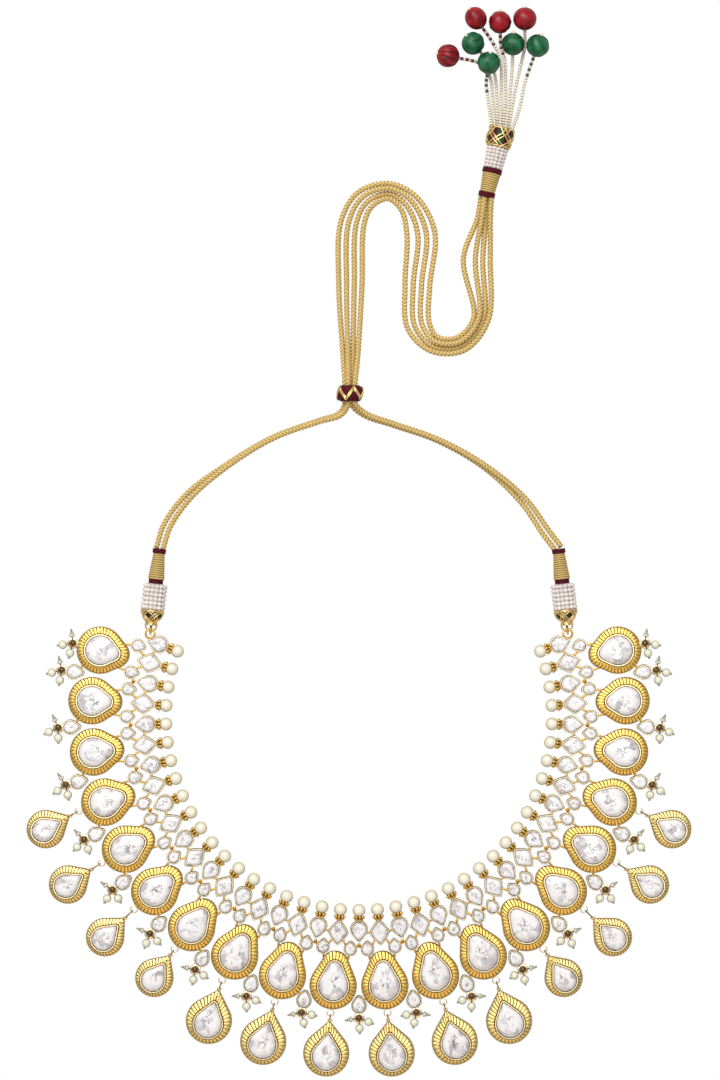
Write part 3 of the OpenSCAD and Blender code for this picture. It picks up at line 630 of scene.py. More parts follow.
def bumped(tree, shader, height, strength, distance):
    made = add(tree, "ShaderNodeBump", {"Height": height, "Strength": strength, "Distance": distance})
    tree.links.new(made.outputs["Normal"], shader.inputs["Normal"])


def settings(shader, **values):
    """Sets plain values on the shader's own sockets."""
    for key, value in values.items():
        socket = shader.inputs[key.replace("_", " ")]
        socket.default_value = (*value, 1) if isinstance(value, (tuple, list)) and len(value) == 3 else value


def darker(colour, share):
    return tuple(share * c for c in colour)


@functools.lru_cache(maxsize=None)
def gold(name, crest, groove, low=0.2, high=0.36):
    """Polished gold with painted shade: it darkens towards the groove colour where tone is high, in the
    grooves and on shaded walls.
    """
    made, tree, shader = blank(name)
    point = object_point(tree)
    worn = mixed(tree, noise(tree, point, 260, 2), crest, darker(crest, 0.88))
    # Painted shade: tone mixes in the groove colour
    coloured(tree, shader, tone_of(tree), worn, groove)
    smears = noise(tree, point, 1500, 3)
    rough = add(tree, "ShaderNodeMapRange", {"Value": smears, "To Min": low, "To Max": high})
    tree.links.new(rough.outputs["Result"], shader.inputs["Roughness"])
    settings(shader, Metallic=1.0)
    bumped(tree, shader, noise(tree, point, 2200, 3), 0.25, 0.00008)
    return made


@functools.lru_cache(maxsize=None)
def stone_finish():
    """Foil-backed clear stone with painted reflections in white and lilac grey patches and a dark squiggle in
    its middle, and painted shade towards its tip and at its edge.
    """
    made, tree, shader = blank("foiled_stone")
    uv = add(tree, "ShaderNodeUVMap", uv_map="UVMap").outputs["UV"]
    seed = math_node(tree, "MULTIPLY", tone_of(tree), 40.0)

    def seeded_noise(scale, detail):
        return add(tree, "ShaderNodeTexNoise", {"Vector": uv, "W": seed, "Scale": scale, "Detail": detail},
                   noise_dimensions="4D").outputs["Fac"]

    cells = add(tree, "ShaderNodeTexVoronoi", {"Vector": uv, "W": seed, "Scale": 2.3, "Randomness": 1.0},
                voronoi_dimensions="4D", feature="F1")
    cell = add(tree, "ShaderNodeSeparateColor", {"Color": cells.outputs["Color"]}).outputs["Red"]
    from_middle = add(tree, "ShaderNodeVectorMath", {0: uv}, operation="LENGTH").outputs["Value"]
    way_up = add(tree, "ShaderNodeSeparateXYZ", {"Vector": uv}).outputs["Y"]
    # Painted reflections of the foil and facets: a grey level for each cell, white where the noise patches
    # rise
    facets = ramp(tree, cell, (0.0, (0.5, 0.47, 0.51)), (0.28, (0.66, 0.63, 0.66)), (0.5, (0.97, 0.96, 0.97)))
    # Painted shade: greyer towards the tip
    tip_shade = ramp(tree, way_up, (0.0, 0.0), (0.55, 0.55))
    noise_patches = ramp(tree, seeded_noise(1.5, 2.0), (0.4, 0.0), (0.56, 1.0))
    clear = math_node(tree, "SUBTRACT", noise_patches, tip_shade, use_clamp=True)
    painted_reflections = mixed(tree, clear, facets, (0.99, 0.98, 0.99))
    # Dark squiggle in the middle: a painted reflection
    squiggle = ramp(tree, seeded_noise(2.6, 3.0), (0.455, 0.0), (0.49, 1.0), (0.525, 0.0))
    inner = ramp(tree, from_middle, (0.24, 1.0), (0.5, 0.0))
    # Painted shade along the edge beside the lip
    edge_shade = mixed(tree, ramp(tree, from_middle, (0.78, 0.0), (1.0, 0.45)), painted_reflections, (0.66, 0.6, 0.58))
    coloured(tree, shader, math_node(tree, "MULTIPLY", inner, squiggle), edge_shade, (0.09, 0.08, 0.1))
    settings(shader, Roughness=0.08, IOR=1.5, Coat_Weight=0.3, Coat_Roughness=0.03)
    return made


def height_share(tree, low, high):
    """Share of the way up between two heights in millimetres above the back of the piece."""
    height = add(tree, "ShaderNodeSeparateXYZ", {"Vector": object_point(tree)}).outputs["Z"]
    return add(tree, "ShaderNodeMapRange", {"Value": height, "From Min": MM * low, "From Max": MM * high},
               interpolation_type="SMOOTHSTEP").outputs["Result"]


@functools.lru_cache(maxsize=None)
def lustre(name, colour, shade, rough=0.22, low=-1, high=0):
    """Pearl or glazed bead: pale on top, with painted shade below the given heights and where tone is high.
    """
    made, tree, shader = blank(name)
    point = object_point(tree)
    noise_patches = mixed(tree, noise(tree, point, 420, 2), colour, darker(colour, 0.93))
    # Painted shade below the given heights
    body = mixed(tree, height_share(tree, low, high), shade, noise_patches)
    coloured(tree, shader, tone_of(tree), body, darker(shade, 0.6))
    bumped(tree, shader, noise(tree, point, 1600, 2), 0.1, 0.00005)
    settings(shader, Roughness=rough, Coat_Weight=0.3, Coat_Roughness=0.1)
    return made


@functools.lru_cache(maxsize=None)
def thread(name, colour, shade, metallic=0.0, rough=0.55):
    """Twisted thread: fine fibres, with painted shade where tone is high, in hollows and where it passes
    under.
    """
    made, tree, shader = blank(name)
    fibres = noise(tree, object_point(tree), 9000, 2, 0.7)
    coloured(tree, shader, tone_of(tree), mixed(tree, fibres, darker(colour, 0.8), colour), shade)
    bumped(tree, shader, fibres, 0.35, 0.00005)
    settings(shader, Roughness=rough, Metallic=metallic, Specular_IOR_Level=0.15)
    return made


@functools.lru_cache(maxsize=None)
def glass_bead(name, colour, deep):
    """Glossy bead of deep colour with paler streaks, made almost black below its middle and in its grooves by
    painted shade.
    """
    made, tree, shader = blank(name)
    point = object_point(tree)
    streaks = noise(tree, point, 300, 4, 0.6)
    body = ramp(tree, streaks, (0.35, deep), (0.62, colour))
    # Painted shade: nearly black towards the bottom
    edge = mixed(tree, height_share(tree, BEAD_LIE, BEAD_LIE + 2.4), darker(colour, 0.1), body)
    coloured(tree, shader, tone_of(tree), edge, darker(deep, 0.25))
    bumped(tree, shader, noise(tree, point, 700, 3), 0.2, 0.0001)
    settings(shader, Roughness=0.3, IOR=1.4)
    return made


# Settings and stones


@part
def rim(bm, w, l, tip, seat_w, seat_l, seat_tip, shift, ridges):
    """Pear setting: flat ridges parted by fine grooves, and a pale lip round its seat; tone paints shade on
    its walls and in the grooves.
    """
    def round_seat(out):
        return pear(seat_w + 2 * out, seat_l + 2 * out, seat_tip + out, shift=shift)

    outer, lip = pear(w, l, tip), round_seat(LIP_W)

    def place(ring, u):
        way, z, depth, tone = ring
        low = max(0, 1 - abs(math.sin(math.pi * u * ridges)) / math.sin(math.pi * GROOVE_SHARE))
        p = outer(u).lerp(lip(u), way + TOOTH * low * (1 - way))
        # Grooves sink and take painted shade through tone
        return (p.x, p.y, z - depth * low), min(tone + low * min(depth / DARK_DEPTH, 1), 1)

    skin(bm, 8 * ridges, RIM_ROWS, place)
    walled(bm, 96, [(round_seat(out), z, tone) for out, z, tone in LIP_ROWS], slot=1)


def small_outline(kind, inset=0.0):
    if kind == "rhomb":
        return rhomb(RHOMB_W, RHOMB_L, inset)
    return pear(*{"oval": OVAL, "small": SMALL, "lower": LOWER}[kind], inset)


@part
def bezel(bm, kind):
    """Plain wall round a small stone, open at the top."""
    walled(bm, 56, [(small_outline(kind, inset), z, tone) for inset, z, tone in BEZEL_ROWS], slot=1)


def facet(bm, outline, corners, half_w, half_l, girdle, top, middle_y=0.0):
    """Flat-backed stone: girdle, two staggered rows of facets and a table, mapped from its middle."""
    def place(ring, u):
        share, z, step = ring
        p = outline((u + step / corners) % 1)
        return (share * p.x, middle_y + share * (p.y - middle_y), z), 0.0

    crown = [(share, girdle + up * (top - girdle), step) for share, up, step in CROWN_ROWS]
    skin(bm, corners, [(1, BACK_H + SEAT_GAP, 0), *crown], place, smooth=False)
    bmesh.ops.triangulate(bm, faces=[f for f in bm.faces if len(f.verts) == 4])
    uv = bm.loops.layers.uv.active
    for f in bm.faces:
        for loop in f.loops:
            x, y, _ = loop.vert.co
            loop[uv].uv = (x / half_w, (y - middle_y) / half_l)


@part
def pear_stone(bm, w, l, tip, shift):
    outline = pear(w - 2 * SEAT_GAP, l - 2 * SEAT_GAP, tip - SEAT_GAP, shift=shift)
    facet(bm, outline, corners=22, half_w=w / 2, half_l=l / 2, girdle=LIP_H - 0.2, top=LIP_H + 1.2,
          middle_y=shift)


@part
def small_stone(bm, kind):
    outline = small_outline(kind, BEZEL_WALL + SEAT_GAP)
    facet(bm, outline, corners=12, half_w=outline(0.25).x, half_l=-outline(0).y, girdle=BEZEL_H,
          top=BEZEL_H + 0.8)


@part
def flower_cap(bm):
    """Claw-like petals on a small foot, opening up Z to clasp a pearl."""
    turning(bm, PETAL_CUP, 16)
    for k in range(PETALS):
        a = math.tau * (k + 0.25) / PETALS
        path = [Vector((r * math.cos(a), r * math.sin(a), z)) for r, z in PETAL_CLAW]
        tube(bm, path, PETAL_R, sides=7)
        ball(bm, PETAL_TIP_R, path[-1], around=10, rows=7)


@part
def ring_part(bm, radius, wire, stretch=0.0):
    torus(bm, radius, wire, stretch)


@part
def ball_part(bm, radius, around=16, rows=10, stretch=(1, 1, 1), tone=0.0):
    ball(bm, radius, around=around, rows=rows, stretch=stretch, tone=tone)


def large_seat(i):
    """Width, length and tip of a large seat, and its shift from the middle of the setting."""
    return (FRAME_W - 2 * RIM_W, large_l(i) - RIM_W - RIM_TIP_W, SEAT_TIP, (RIM_TIP_W - RIM_W) / 2)


def drop_seat(i):
    share = drop_share(i)
    return (share * (DROP_W - 2 * DROP_SIDE_RIM), share * (DROP_L - DROP_RIM - DROP_TIP_RIM), DROP_SEAT_TIP,
            share * (DROP_TIP_RIM - DROP_RIM) / 2)


# Collar


def sideways(r, side):
    return polar(r, math.degrees(math.asin(side / r)))


def beside_oval(r, side, s):
    return polar(r, s * (PITCH / 2 - math.degrees(math.asin(side / r))))


def small_point(s, step):
    return sideways(SMALL_R + step[0], s * (SMALL_SIDE + step[1]))


def lug(bm, s, z):
    """Eye of a hinge at height z and the arm that joins it to a small setting."""
    place = polar(HINGE_R, s * PITCH / 2)
    rod(bm, place + Vector((0, 0, z)), place + Vector((0, 0, z + LUG_H)), LUG_R, sides=20)
    bar(bm, place, small_point(s, (0, LUG_ARM_SIDE)), z, LUG_H)


def hinge_pin(bm):
    place = polar(HINGE_R, -PITCH / 2)
    head = LUG_Z + 2 * (LUG_H + HINGE_GAP)
    rod(bm, place + Vector((0, 0, LUG_Z)), place + Vector((0, 0, head)), PIN_R)
    ball(bm, PIN_HEAD_R, place + Vector((0, 0, head + 0.1)), stretch=(1, 1, 0.4), tone=0.8)


def add_cap(bm, turn):
    add_part(bm, flower_cap(), at(PEARL_RING_R, turn) @ along(PEARL_RING_R - PEARL_CAP_FROM, PEARL_Z))


def add_ring(bm, radius, wire, matrix, slot=1, stretch=0.0):
    add_part(bm, ring_part(radius, wire, stretch), matrix, slot=slot)


def unit_frame(side, i):
    """Turns what is drawn at the middle of the collar to a unit's place."""
    return mirrored(side) @ lifted(0, ROW_R, 0) @ turned(axis_turn(i)) @ lifted(0, -ROW_R, 0)


def end_spray_r():
    return FRAME_R + large_l(UNITS) / 2 + SPRAY_EYE_R


def collar_unit(side, i, ridges, materials):
    """One unit: its large, rhombic, oval and small settings, flower caps, bars, lugs and eyes."""
    bm = assembly()
    middle = side > 0 and i == 1
    half = PITCH / 2
    high_lug = LUG_Z + LUG_H + HINGE_GAP
    add_part(bm, rim(FRAME_W, large_l(i), FRAME_TIP, *large_seat(i), ridges), at(FRAME_R, 0) @ HALF_TURN)
    add_part(bm, bezel("rhomb"), at(RHOMB_R, 0))
    add_cap(bm, 0)
    for s in (-1, 1) if middle else (1,):
        add_part(bm, bezel("oval"), at(ROW_R, s * half))
        add_cap(bm, s * half)
        r, off = ROW_R + ROW_BAR[0], ROW_BAR[1]
        bar(bm, sideways(r, s * off), beside_oval(r, off, s))
    for s in (-1, 1):
        add_part(bm, bezel("small"), at(SMALL_R, s * SMALL_TURN) @ HALF_TURN)
        bar(bm, sideways(RHOMB_R + RHOMB_BAR[0], s * RHOMB_BAR[1]), small_point(s, SMALL_BAR_IN))
        bar(bm, small_point(s, SMALL_BAR_OUT),
            sideways(FRAME_R - large_l(i) / 2 + FRAME_BAR[0], s * (SMALL_SIDE + FRAME_BAR[1])))
    if i > 1 or middle:
        add_part(bm, bezel("lower"), at(LOWER_R, -half) @ HALF_TURN)
        bar(bm, beside_oval(LOWER_R + LOWER_BAR[0], LOWER_BAR[1], -1),
            sideways(FRAME_R + LOWER_FRAME_BAR[0], -LOWER_FRAME_BAR[1]))
        add_ring(bm, SPRAY_EYE_R, SPRAY_WIRE_R, at(SPRAY_R, -half, SPRAY_Z))
    if i <= DROPS:
        add_ring(bm, EYE_R, WIRE_R, at(eye_at(i), 0, EYE_Z))
    if i < UNITS:
        lug(bm, 1, high_lug)
    else:
        add_ring(bm, SPRAY_EYE_R, SPRAY_WIRE_R, at(end_spray_r(), 0, SPRAY_Z))
        add_ring(bm, END_RING_R, END_WIRE_R, at(END_R, END_TURN - axis_turn(i), END_RING_Z), slot=0)
    if middle:
        lug(bm, -1, high_lug)
    else:
        lug(bm, -1, LUG_Z)
        hinge_pin(bm)
    matrix = unit_frame(side, i)
    bmesh.ops.transform(bm, matrix=matrix, verts=bm.verts)
    if matrix.determinant() < 0:
        bmesh.ops.reverse_faces(bm, faces=bm.faces)
    node = f"unit_{letter(side)}{i:02d}"
    piece(f"{node}_gold", bm, materials, [node])


def drop_frame(side, i):
    return hanging(side, i) @ lifted(0, -drop_centre(i), 0) @ HALF_TURN


def drop(side, i, ridges, materials):
    """Ridged drop with its eye and the small pit at its tip, its floor darkened by tone as painted shade."""
    bm = assembly()
    share = drop_share(i)
    place = drop_frame(side, i)
    add_part(bm, rim(share * DROP_W, share * DROP_L, DROP_TIP, *drop_seat(i), ridges), place)
    pit = place @ lifted(0, share * (DROP_TIP_RIM / 2 - DROP_L / 2), PIT_Z)
    add_ring(bm, PIT_R, PIT_WIRE_R, pit, slot=0)
    # Floor of the pit, at full tone: painted shade
    add_part(bm, ball_part(PIT_R - 0.02, stretch=(1, 1, 0.3)), pit, tone=1)
    add_ring(bm, DROP_EYE_R, WIRE_R, hanging(side, i) @ lifted(0, -drop_eye_at(i), EYE_Z), slot=0)
    node = f"drop_{letter(side)}{i:02d}"
    piece(f"{node}_gold", bm, materials, [node])


def stones(kind, placed, materials):
    """Stones of one kind, each a mesh with its place and a pattern of its own."""
    bm = assembly()
    chance = random.Random(kind)
    for mesh, place in placed:
        add_part(bm, mesh, place, tone=chance.random())
    piece(kind + "_cut", bm, materials, [kind], crease=1)


def both_sides(count):
    return [(side, i) for side in (-1, 1) for i in range(1, count + 1)]


def collar_stones(materials):
    units = both_sides(UNITS)
    stones("large_stones", [(pear_stone(*large_seat(i)), mirrored(s) @ at(FRAME_R, axis_turn(i)) @ HALF_TURN)
                            for s, i in units], materials)
    stones("drop_stones", [(pear_stone(*drop_seat(i)), drop_frame(s, i))
                           for s, i in both_sides(DROPS)], materials)
    for node, kind, places in (
            ("small_stones", "small", [mirrored(s) @ at(SMALL_R, axis_turn(i) + t * SMALL_TURN) @ HALF_TURN
                                       for s, i in units for t in (-1, 1)]),
            ("row_ovals", "oval", [at(ROW_R, k * PITCH) for k in range(-UNITS, UNITS + 1)]),
            ("row_rhombs", "rhomb", [mirrored(s) @ at(RHOMB_R, axis_turn(i)) for s, i in units]),
            ("lower_stones", "lower", [at(LOWER_R, k * PITCH) @ HALF_TURN
                                       for k in range(-HINGES, HINGES + 1)])):
        stones(node, [(small_stone(kind), place) for place in places], materials)


def pearl_ring(materials):
    bm = assembly()
    for k in range(-2 * UNITS, 2 * UNITS + 1):
        add_part(bm, ball_part(PEARL_D / 2, around=28, rows=18), at(PEARL_RING_R, k * PITCH / 2, PEARL_Z))
    piece("pearls_row", bm, materials, ["pearls"])


def spray_places():
    """Frames of the sprays with the turns of their arms."""
    yield at(SPRAY_R, 0, SPRAY_Z), MIDDLE_ARMS
    for side in (-1, 1):
        for k in range(1, HINGES + 1):
            yield mirrored(side) @ at(SPRAY_R, k * PITCH, SPRAY_Z), SPRAY_ARMS
        yield mirrored(side) @ at(end_spray_r(), axis_turn(UNITS), SPRAY_Z), SPRAY_ARMS


@part
def spray_pearl(bm):
    """Seed pearl with the small bead at the end of its pin."""
    ball(bm, SEED_PEARL_D / 2, (0, -SEED_PEARL_AT, 0), around=24, rows=16)
    ball(bm, PIN_BEAD_R, (0, -SEED_PEARL_AT - SEED_PEARL_D / 2 - 0.15, 0), around=12, rows=8)


@part
def spray_cone(bm):
    """Bead and ever smaller discs threaded on one pin."""
    for distance, radius, half in CONE_DISCS:
        ball(bm, radius, (0, -distance, 0), around=14, rows=10, stretch=(1, half / radius, 1))


@part
def spray_pin(bm):
    """Loop on the ring and its pin."""
    add_ring(bm, LOOP_R, LOOP_WIRE_R, lifted(0, -SPRAY_EYE_R, 0) @ turned(90, "Y"), slot=0)
    rod(bm, (0, -SPRAY_EYE_R - LOOP_R, 0), (0, -SEED_PEARL_AT - SEED_PEARL_D / 2, 0), LOOP_WIRE_R)


def sprays(pearl_materials, wire_materials):
    """Seed pearls and beaded cones in bunches between the large settings, with a ball in each ring, darkened
    by tone as painted shade inside the ring.
    """
    beads, wires = assembly(), assembly()
    for place, arms in spray_places():
        # Ball in the ring, darkened by tone as painted shade
        add_part(wires, ball_part(SPRAY_BOSS_R, around=18, rows=12, stretch=(1, 1, 0.8), tone=0.6), place)
        for mesh, arm in zip((spray_pearl(), spray_pearl(), spray_cone()), arms):
            add_part(wires, spray_pin(), place @ turned(arm))
            add_part(beads, mesh, place @ turned(arm))
    piece("spray_seed_pearls", beads, pearl_materials, ["pearl_sprays"])
    piece("spray_wires", wires, wire_materials, ["pearl_sprays"])


def links(materials):
    bm = assembly()
    for side, i in both_sides(DROPS):
        length = LINKS[i - 1]
        place = hanging(side, i) @ lifted(0, -EYE_R - length / 2, EYE_Z) @ turned(90, "Y")
        add_ring(bm, LINK_END_R, WIRE_R, place, slot=0, stretch=length)
    piece("drop_link_rings", bm, materials, ["drop_links"])


# Fittings, cords and tassel


def ripple(k):
    """Depth of the hollow between two coils, as a share, at a quarter k of a coil."""
    return 0.5 + 0.5 * math.cos(math.tau * k / 4)


@part
def wound(bm, length, r1, r2, coil, depth):
    """Turned solid wound with thread, one coil after another along Z, with painted shade through tone in the
    hollows between coils and on its ends.
    """
    steps, inner = max(round(length / coil), 2) * 4, 0.4
    rows = [(inner * r1, 0, 1.0)]
    for k in range(steps + 1):
        s = k / steps
        rows.append((r1 + (r2 - r1) * s - depth * ripple(k), length * s, ripple(k)))
    rows.append((inner * r2, length, 1.0))
    turning(bm, rows, 30)


def lattice(bm, rows, strands, lean):
    """Crossing helical wires in pairs over a turned shape of (radius, z) rows."""
    fine = 4
    last = (len(rows) - 1) * fine
    for way in (-1, 1):
        for k in range(strands):
            for step in (-LATTICE_PAIR, LATTICE_PAIR):
                path = []
                for j in range(last + 1):
                    a, b = rows[j // fine], rows[min(j // fine + 1, len(rows) - 1)]
                    s = j % fine / fine
                    r, z = a[0] + (b[0] - a[0]) * s, a[1] + (b[1] - a[1]) * s
                    turn = math.tau * (k / strands + step / strands * 2) + way * lean * j / last
                    path.append(Vector((r * math.cos(turn), r * math.sin(turn), z)))
                tube(bm, path, WOVEN_WIRE_R, sides=6)


@part
def woven_cap(bm, rows, crossings, lean, foot_wires):
    """Dark red and green threads under a lattice of gold wire, with hoops at the ends; the threads take
    painted shade under the lattice.
    """
    wire = WOVEN_WIRE_R
    (foot_r, foot_z), (_, top_z) = rows[0], rows[-1]
    # Painted shade: half tone on the threads under the lattice, full tone on the closed ends
    under = [(r - 2 * wire, z, 0.5) for r, z in rows]
    turning(bm, [(CORE_R, foot_z, 1.0), *under, (CORE_R, top_z, 1.0)], 40, slot=1)
    for f in bm.faces:
        middle = f.calc_center_median()
        sector = math.atan2(middle.y, middle.x) / math.tau * crossings + 0.5
        if sector % 1 > 0.5:
            f.material_index = 2
    lattice(bm, [(r - wire, z) for r, z in rows], crossings, lean)
    hoops = [(r - wire, wire, z + (wire if z == foot_z else -wire)) for r, z in (rows[0], rows[-1])]
    hoops += [(foot_r - FOOT_IN, FOOT_WIRE_R, foot_z - FOOT_FROM - FOOT_STEP * k) for k in range(foot_wires)]
    for radius, thick, z in hoops:
        torus(bm, radius, thick, steps=40, sides=8, z=z)


@part
def sleeve_beads(bm, length, d1, d2, count, rows):
    """Even rows of seed beads round a sleeve, over a core that tone darkens as painted shade between the
    beads.
    """
    step = length / rows
    # Core at full tone: painted shade between the beads
    turning(bm, [(CORE_R, CORE_GAP, 1), (d1 / 2 - CORE_SINK, CORE_GAP, 1),
                 (d2 / 2 - CORE_SINK, length - CORE_GAP, 1), (CORE_R, length - CORE_GAP, 1)], 24)
    chance = random.Random(count)
    for j in range(rows):
        z = step * (j + 0.5)
        across = (d1 + (d2 - d1) * z / length) / 2
        half = SEED_SPREAD * math.pi * (across - SEED_SINK) / count
        wide = half / SEED_R
        for k in range(count):
            a = math.tau * (k + chance.uniform(-SEED_JITTER, SEED_JITTER)) / count
            r = across - half
            ball(bm, SEED_R, (r * math.cos(a), r * math.sin(a), z), around=10, rows=6,
                 stretch=(wide, wide, 1.02 * step / (2 * SEED_R)), tone=0.3 * chance.random())


def single(name, node, mesh, matrix, materials):
    """Piece made of one part that stands for one node."""
    bm = assembly()
    add_part(bm, mesh, matrix)
    piece(name, bm, materials, [node])


def binding(node, place, z, start, length, radii, materials):
    """Wound gold thread between two dark red bands, with the radii of band, thread's ends, band."""
    bm = assembly()
    low, high = start + BAND_L, start + BAND_L + length
    first, r1, r2, last = radii
    add_part(bm, wound(BAND_L, first, first, *BAND_THREAD), place @ along(start, z))
    add_part(bm, wound(length, r1, r2, *GOLD_THREAD), place @ along(low, z))
    add_part(bm, wound(BAND_L, last, last, *BAND_THREAD), place @ along(high, z))
    back = place.inverted()
    for f in bm.faces:
        if low < (back @ f.calc_center_median()).y < high:
            f.material_index = 1
    piece(f"{node}_thread", bm, materials, [node])


def end_fitting(side, woven, beads, wound_materials):
    """Woven cap with its loop, beaded sleeve and wound binding between the collar and the cords."""
    place = fitting(side)
    cap = assembly()
    add_ring(cap, END_RING_R, END_WIRE_R, place @ lifted(0, END_RING_R, END_RING_Z) @ turned(90, "Y"), slot=0)
    for way in (-1, 1):
        tube(cap, [place @ Vector((way * x, y, z)) for x, y, z in END_WIRES], END_SIDE_WIRE_R)
    add_part(cap, woven_cap(END_CAP_ROWS, 5, math.tau * 0.2, 3), place @ along(CAP_FROM, FIT_Z))
    cap_node, sleeve_node = f"end_cap_{letter(side)}", f"end_sleeve_{letter(side)}"
    piece(f"{cap_node}_weave", cap, woven, [cap_node])
    single(f"{sleeve_node}_beads", sleeve_node, sleeve_beads(SLEEVE_L, SLEEVE_D, SLEEVE_D, 14, 6),
           place @ along(SLEEVE_FROM, FIT_Z), beads)
    binding(f"end_binding_{letter(side)}", place, FIT_Z, BINDING_FROM, BINDING_L - 2 * BAND_L,
            (2.6, 3.0, 2.1, 2.4), wound_materials)


def fitting_point(side, distance):
    return fitting(side) @ Vector((0, distance, 0))


def side_rows(side):
    start = fitting_point(side, BINDING_FROM + BINDING_L + SEAT_GAP / 2)
    return [(start.x, start.y, FIT_Z, TOUCH), *(LEFT_ROUTE if side < 0 else RIGHT_ROUTE)]


def rise(spacing):
    """Height step that keeps two strands apart when they lie closer than side by side."""
    return math.sqrt(max(0, TOUCH ** 2 - spacing ** 2))


def tail_rows():
    low = KNOT_Z - rise(KNOT_SIDE) / 2
    reach = KNOT_L / 2 + KNOT_LEAD
    end = tassel() @ Vector((0, -SEAT_GAP / 2, 0))
    return [(KNOT_X, KNOT_Y - reach, low, KNOT_SIDE), (KNOT_X, KNOT_Y + reach, low, KNOT_SIDE), *TAIL_ROUTE,
            (end.x, end.y, TASSEL_Z - rise(KNOT_SIDE) / 2, KNOT_SIDE)]


def strand_route(strand):
    """Points that one of the four strands passes, from its end fitting to the tassel."""
    sides = side_rows(-1 if strand < 2 else 1)
    rows = sides + tail_rows()
    last = len(rows) - 1
    points = []
    for k, (x, y, z, spacing) in enumerate(rows):
        ahead, behind = rows[min(k + 1, last)], rows[max(k - 1, 0)]
        run = Vector((ahead[0] - behind[0], ahead[1] - behind[1])).normalized()
        tail_row = k - len(sides)
        lane = strand % 2 - 0.5 if tail_row < 0 else strand - 1.5
        offset = lane * spacing + (BOWS.get((tail_row - 2, strand), 0) if tail_row >= 0 else 0)
        lift = rise(spacing) if strand % 2 else 0
        points.append(Vector((x + run.y * offset, y - run.x * offset, z + lift)))
    return points


def smooth_path(points, step, low):
    """Even points along a curve through all the given ones, none of them below a height."""
    padded = [2 * points[0] - points[1], *points, 2 * points[-1] - points[-2]]
    fine = [points[0]]
    for p0, p1, p2, p3 in zip(padded, padded[1:], padded[2:], padded[3:]):
        t1 = (p1 - p0).length ** 0.5
        t2 = t1 + (p2 - p1).length ** 0.5
        t3 = t2 + (p3 - p2).length ** 0.5
        for k in range(1, CURVE_STEPS + 1):
            t = t1 + (t2 - t1) * k / CURVE_STEPS
            a1 = p0.lerp(p1, t / t1)
            a2 = p1.lerp(p2, (t - t1) / (t2 - t1))
            a3 = p2.lerp(p3, (t - t2) / (t3 - t2))
            b1 = a1.lerp(a2, t / t2)
            b2 = a2.lerp(a3, (t - t1) / (t3 - t1))
            p = b1.lerp(b2, (t - t1) / (t2 - t1))
            p.z = max(p.z, low)
            fine.append(p)
    whole = sum((b - a).length for a, b in zip(fine, fine[1:]))
    count = max(round(whole / step), 1)
    even, run, k = [fine[0]], 0.0, 0
    for n in range(1, count):
        target = whole * n / count
        while run + (fine[k + 1] - fine[k]).length < target:
            run += (fine[k + 1] - fine[k]).length
            k += 1
        even.append(fine[k].lerp(fine[k + 1], (target - run) / (fine[k + 1] - fine[k]).length))
    return even + [fine[-1]]


def braid(bm, path, turn_l):
    """Round braid of eight flat yarns, four each way, two over and two under, on a dark core; a yarn takes
    painted shade where it passes under.
    """
    frames = path_frames(path)
    pitch_way = math.tau * BRAID_R / turn_l

    def core(frame, u):
        p, side, up, _ = frame
        return p + (BRAID_R - 0.1) * (math.cos(math.tau * u) * side + math.sin(math.tau * u) * up), 1.0

    def yarn(ring, u):
        way, a, (p, side, up, run) = ring
        out = math.cos(a) * side + math.sin(a) * up
        around = way * (math.cos(a) * up - math.sin(a) * side)
        across = (run * pitch_way - around).normalized()
        wave = way * math.cos(2 * a - math.pi / 4)
        b = math.tau * u
        flat = YARN_HALF_W * math.cos(b) * across + YARN_HALF_T * math.sin(b) * out
        # Painted shade through tone where the yarn dips under the others
        return p + (BRAID_R + BRAID_SWING * wave) * out + flat, 0.4 * (1 - wave)

    skin(bm, 8, frames[::2] + frames[-1:], core, slot=1)
    for way in (-1, 1):
        for k in range(4):
            skin(bm, 4, [(way, way * math.tau * n * BRAID_STEP / turn_l + k * math.pi / 2, frame)
                         for n, frame in enumerate(frames)], yarn)


def strands(turn_l, materials):
    """Four braided cords from the end fittings through the knot to the tassel."""
    for strand in range(4):
        path = smooth_path(strand_route(strand), BRAID_STEP, LIE)
        bm = assembly()
        braid(bm, path, turn_l)
        bmesh.ops.recalc_face_normals(bm, faces=bm.faces)
        made = piece(f"cord_{strand + 1}", bm, materials, [f"strand_{strand + 1}"])


def knot(materials):
    """Wound barrel that the strands slide through, crossed by gold wires with green knots."""
    bm = assembly()
    place = lifted(KNOT_X, KNOT_Y - KNOT_L / 2, 0) @ along(0, KNOT_Z)
    add_part(bm, knot_barrel(), place)
    add_part(bm, knot_wires(), place)
    piece("knot_wraps", bm, materials, ["slide_knot"])


@part
def knot_barrel(bm):
    """Bulging barrel wound with dark red thread, round the opening for the strands; tone paints shade in the
    hollows between coils, on its ends and in the opening.
    """
    gap, inset, mouth, depth = 0.05, 0.36, 0.1, 0.07
    bore = 1.5 * STRAND_D + gap
    outer = KNOT_D / 2 - inset
    end = outer - KNOT_WAIST
    steps = 4 * KNOT_COILS
    rows = [(bore, mouth, 1), (end, 0, 0.6)]
    for k in range(steps + 1):
        s = k / steps
        r = end + (outer - end) * math.sin(math.pi * s) ** 0.5 - depth * ripple(k)
        rows.append((r, KNOT_L * (0.02 + 0.96 * s), 0.9 * ripple(k)))
    rows += [(end, KNOT_L, 0.6), (bore, KNOT_L - mouth, 1), (bore, mouth, 1)]
    turning(bm, rows, 48)


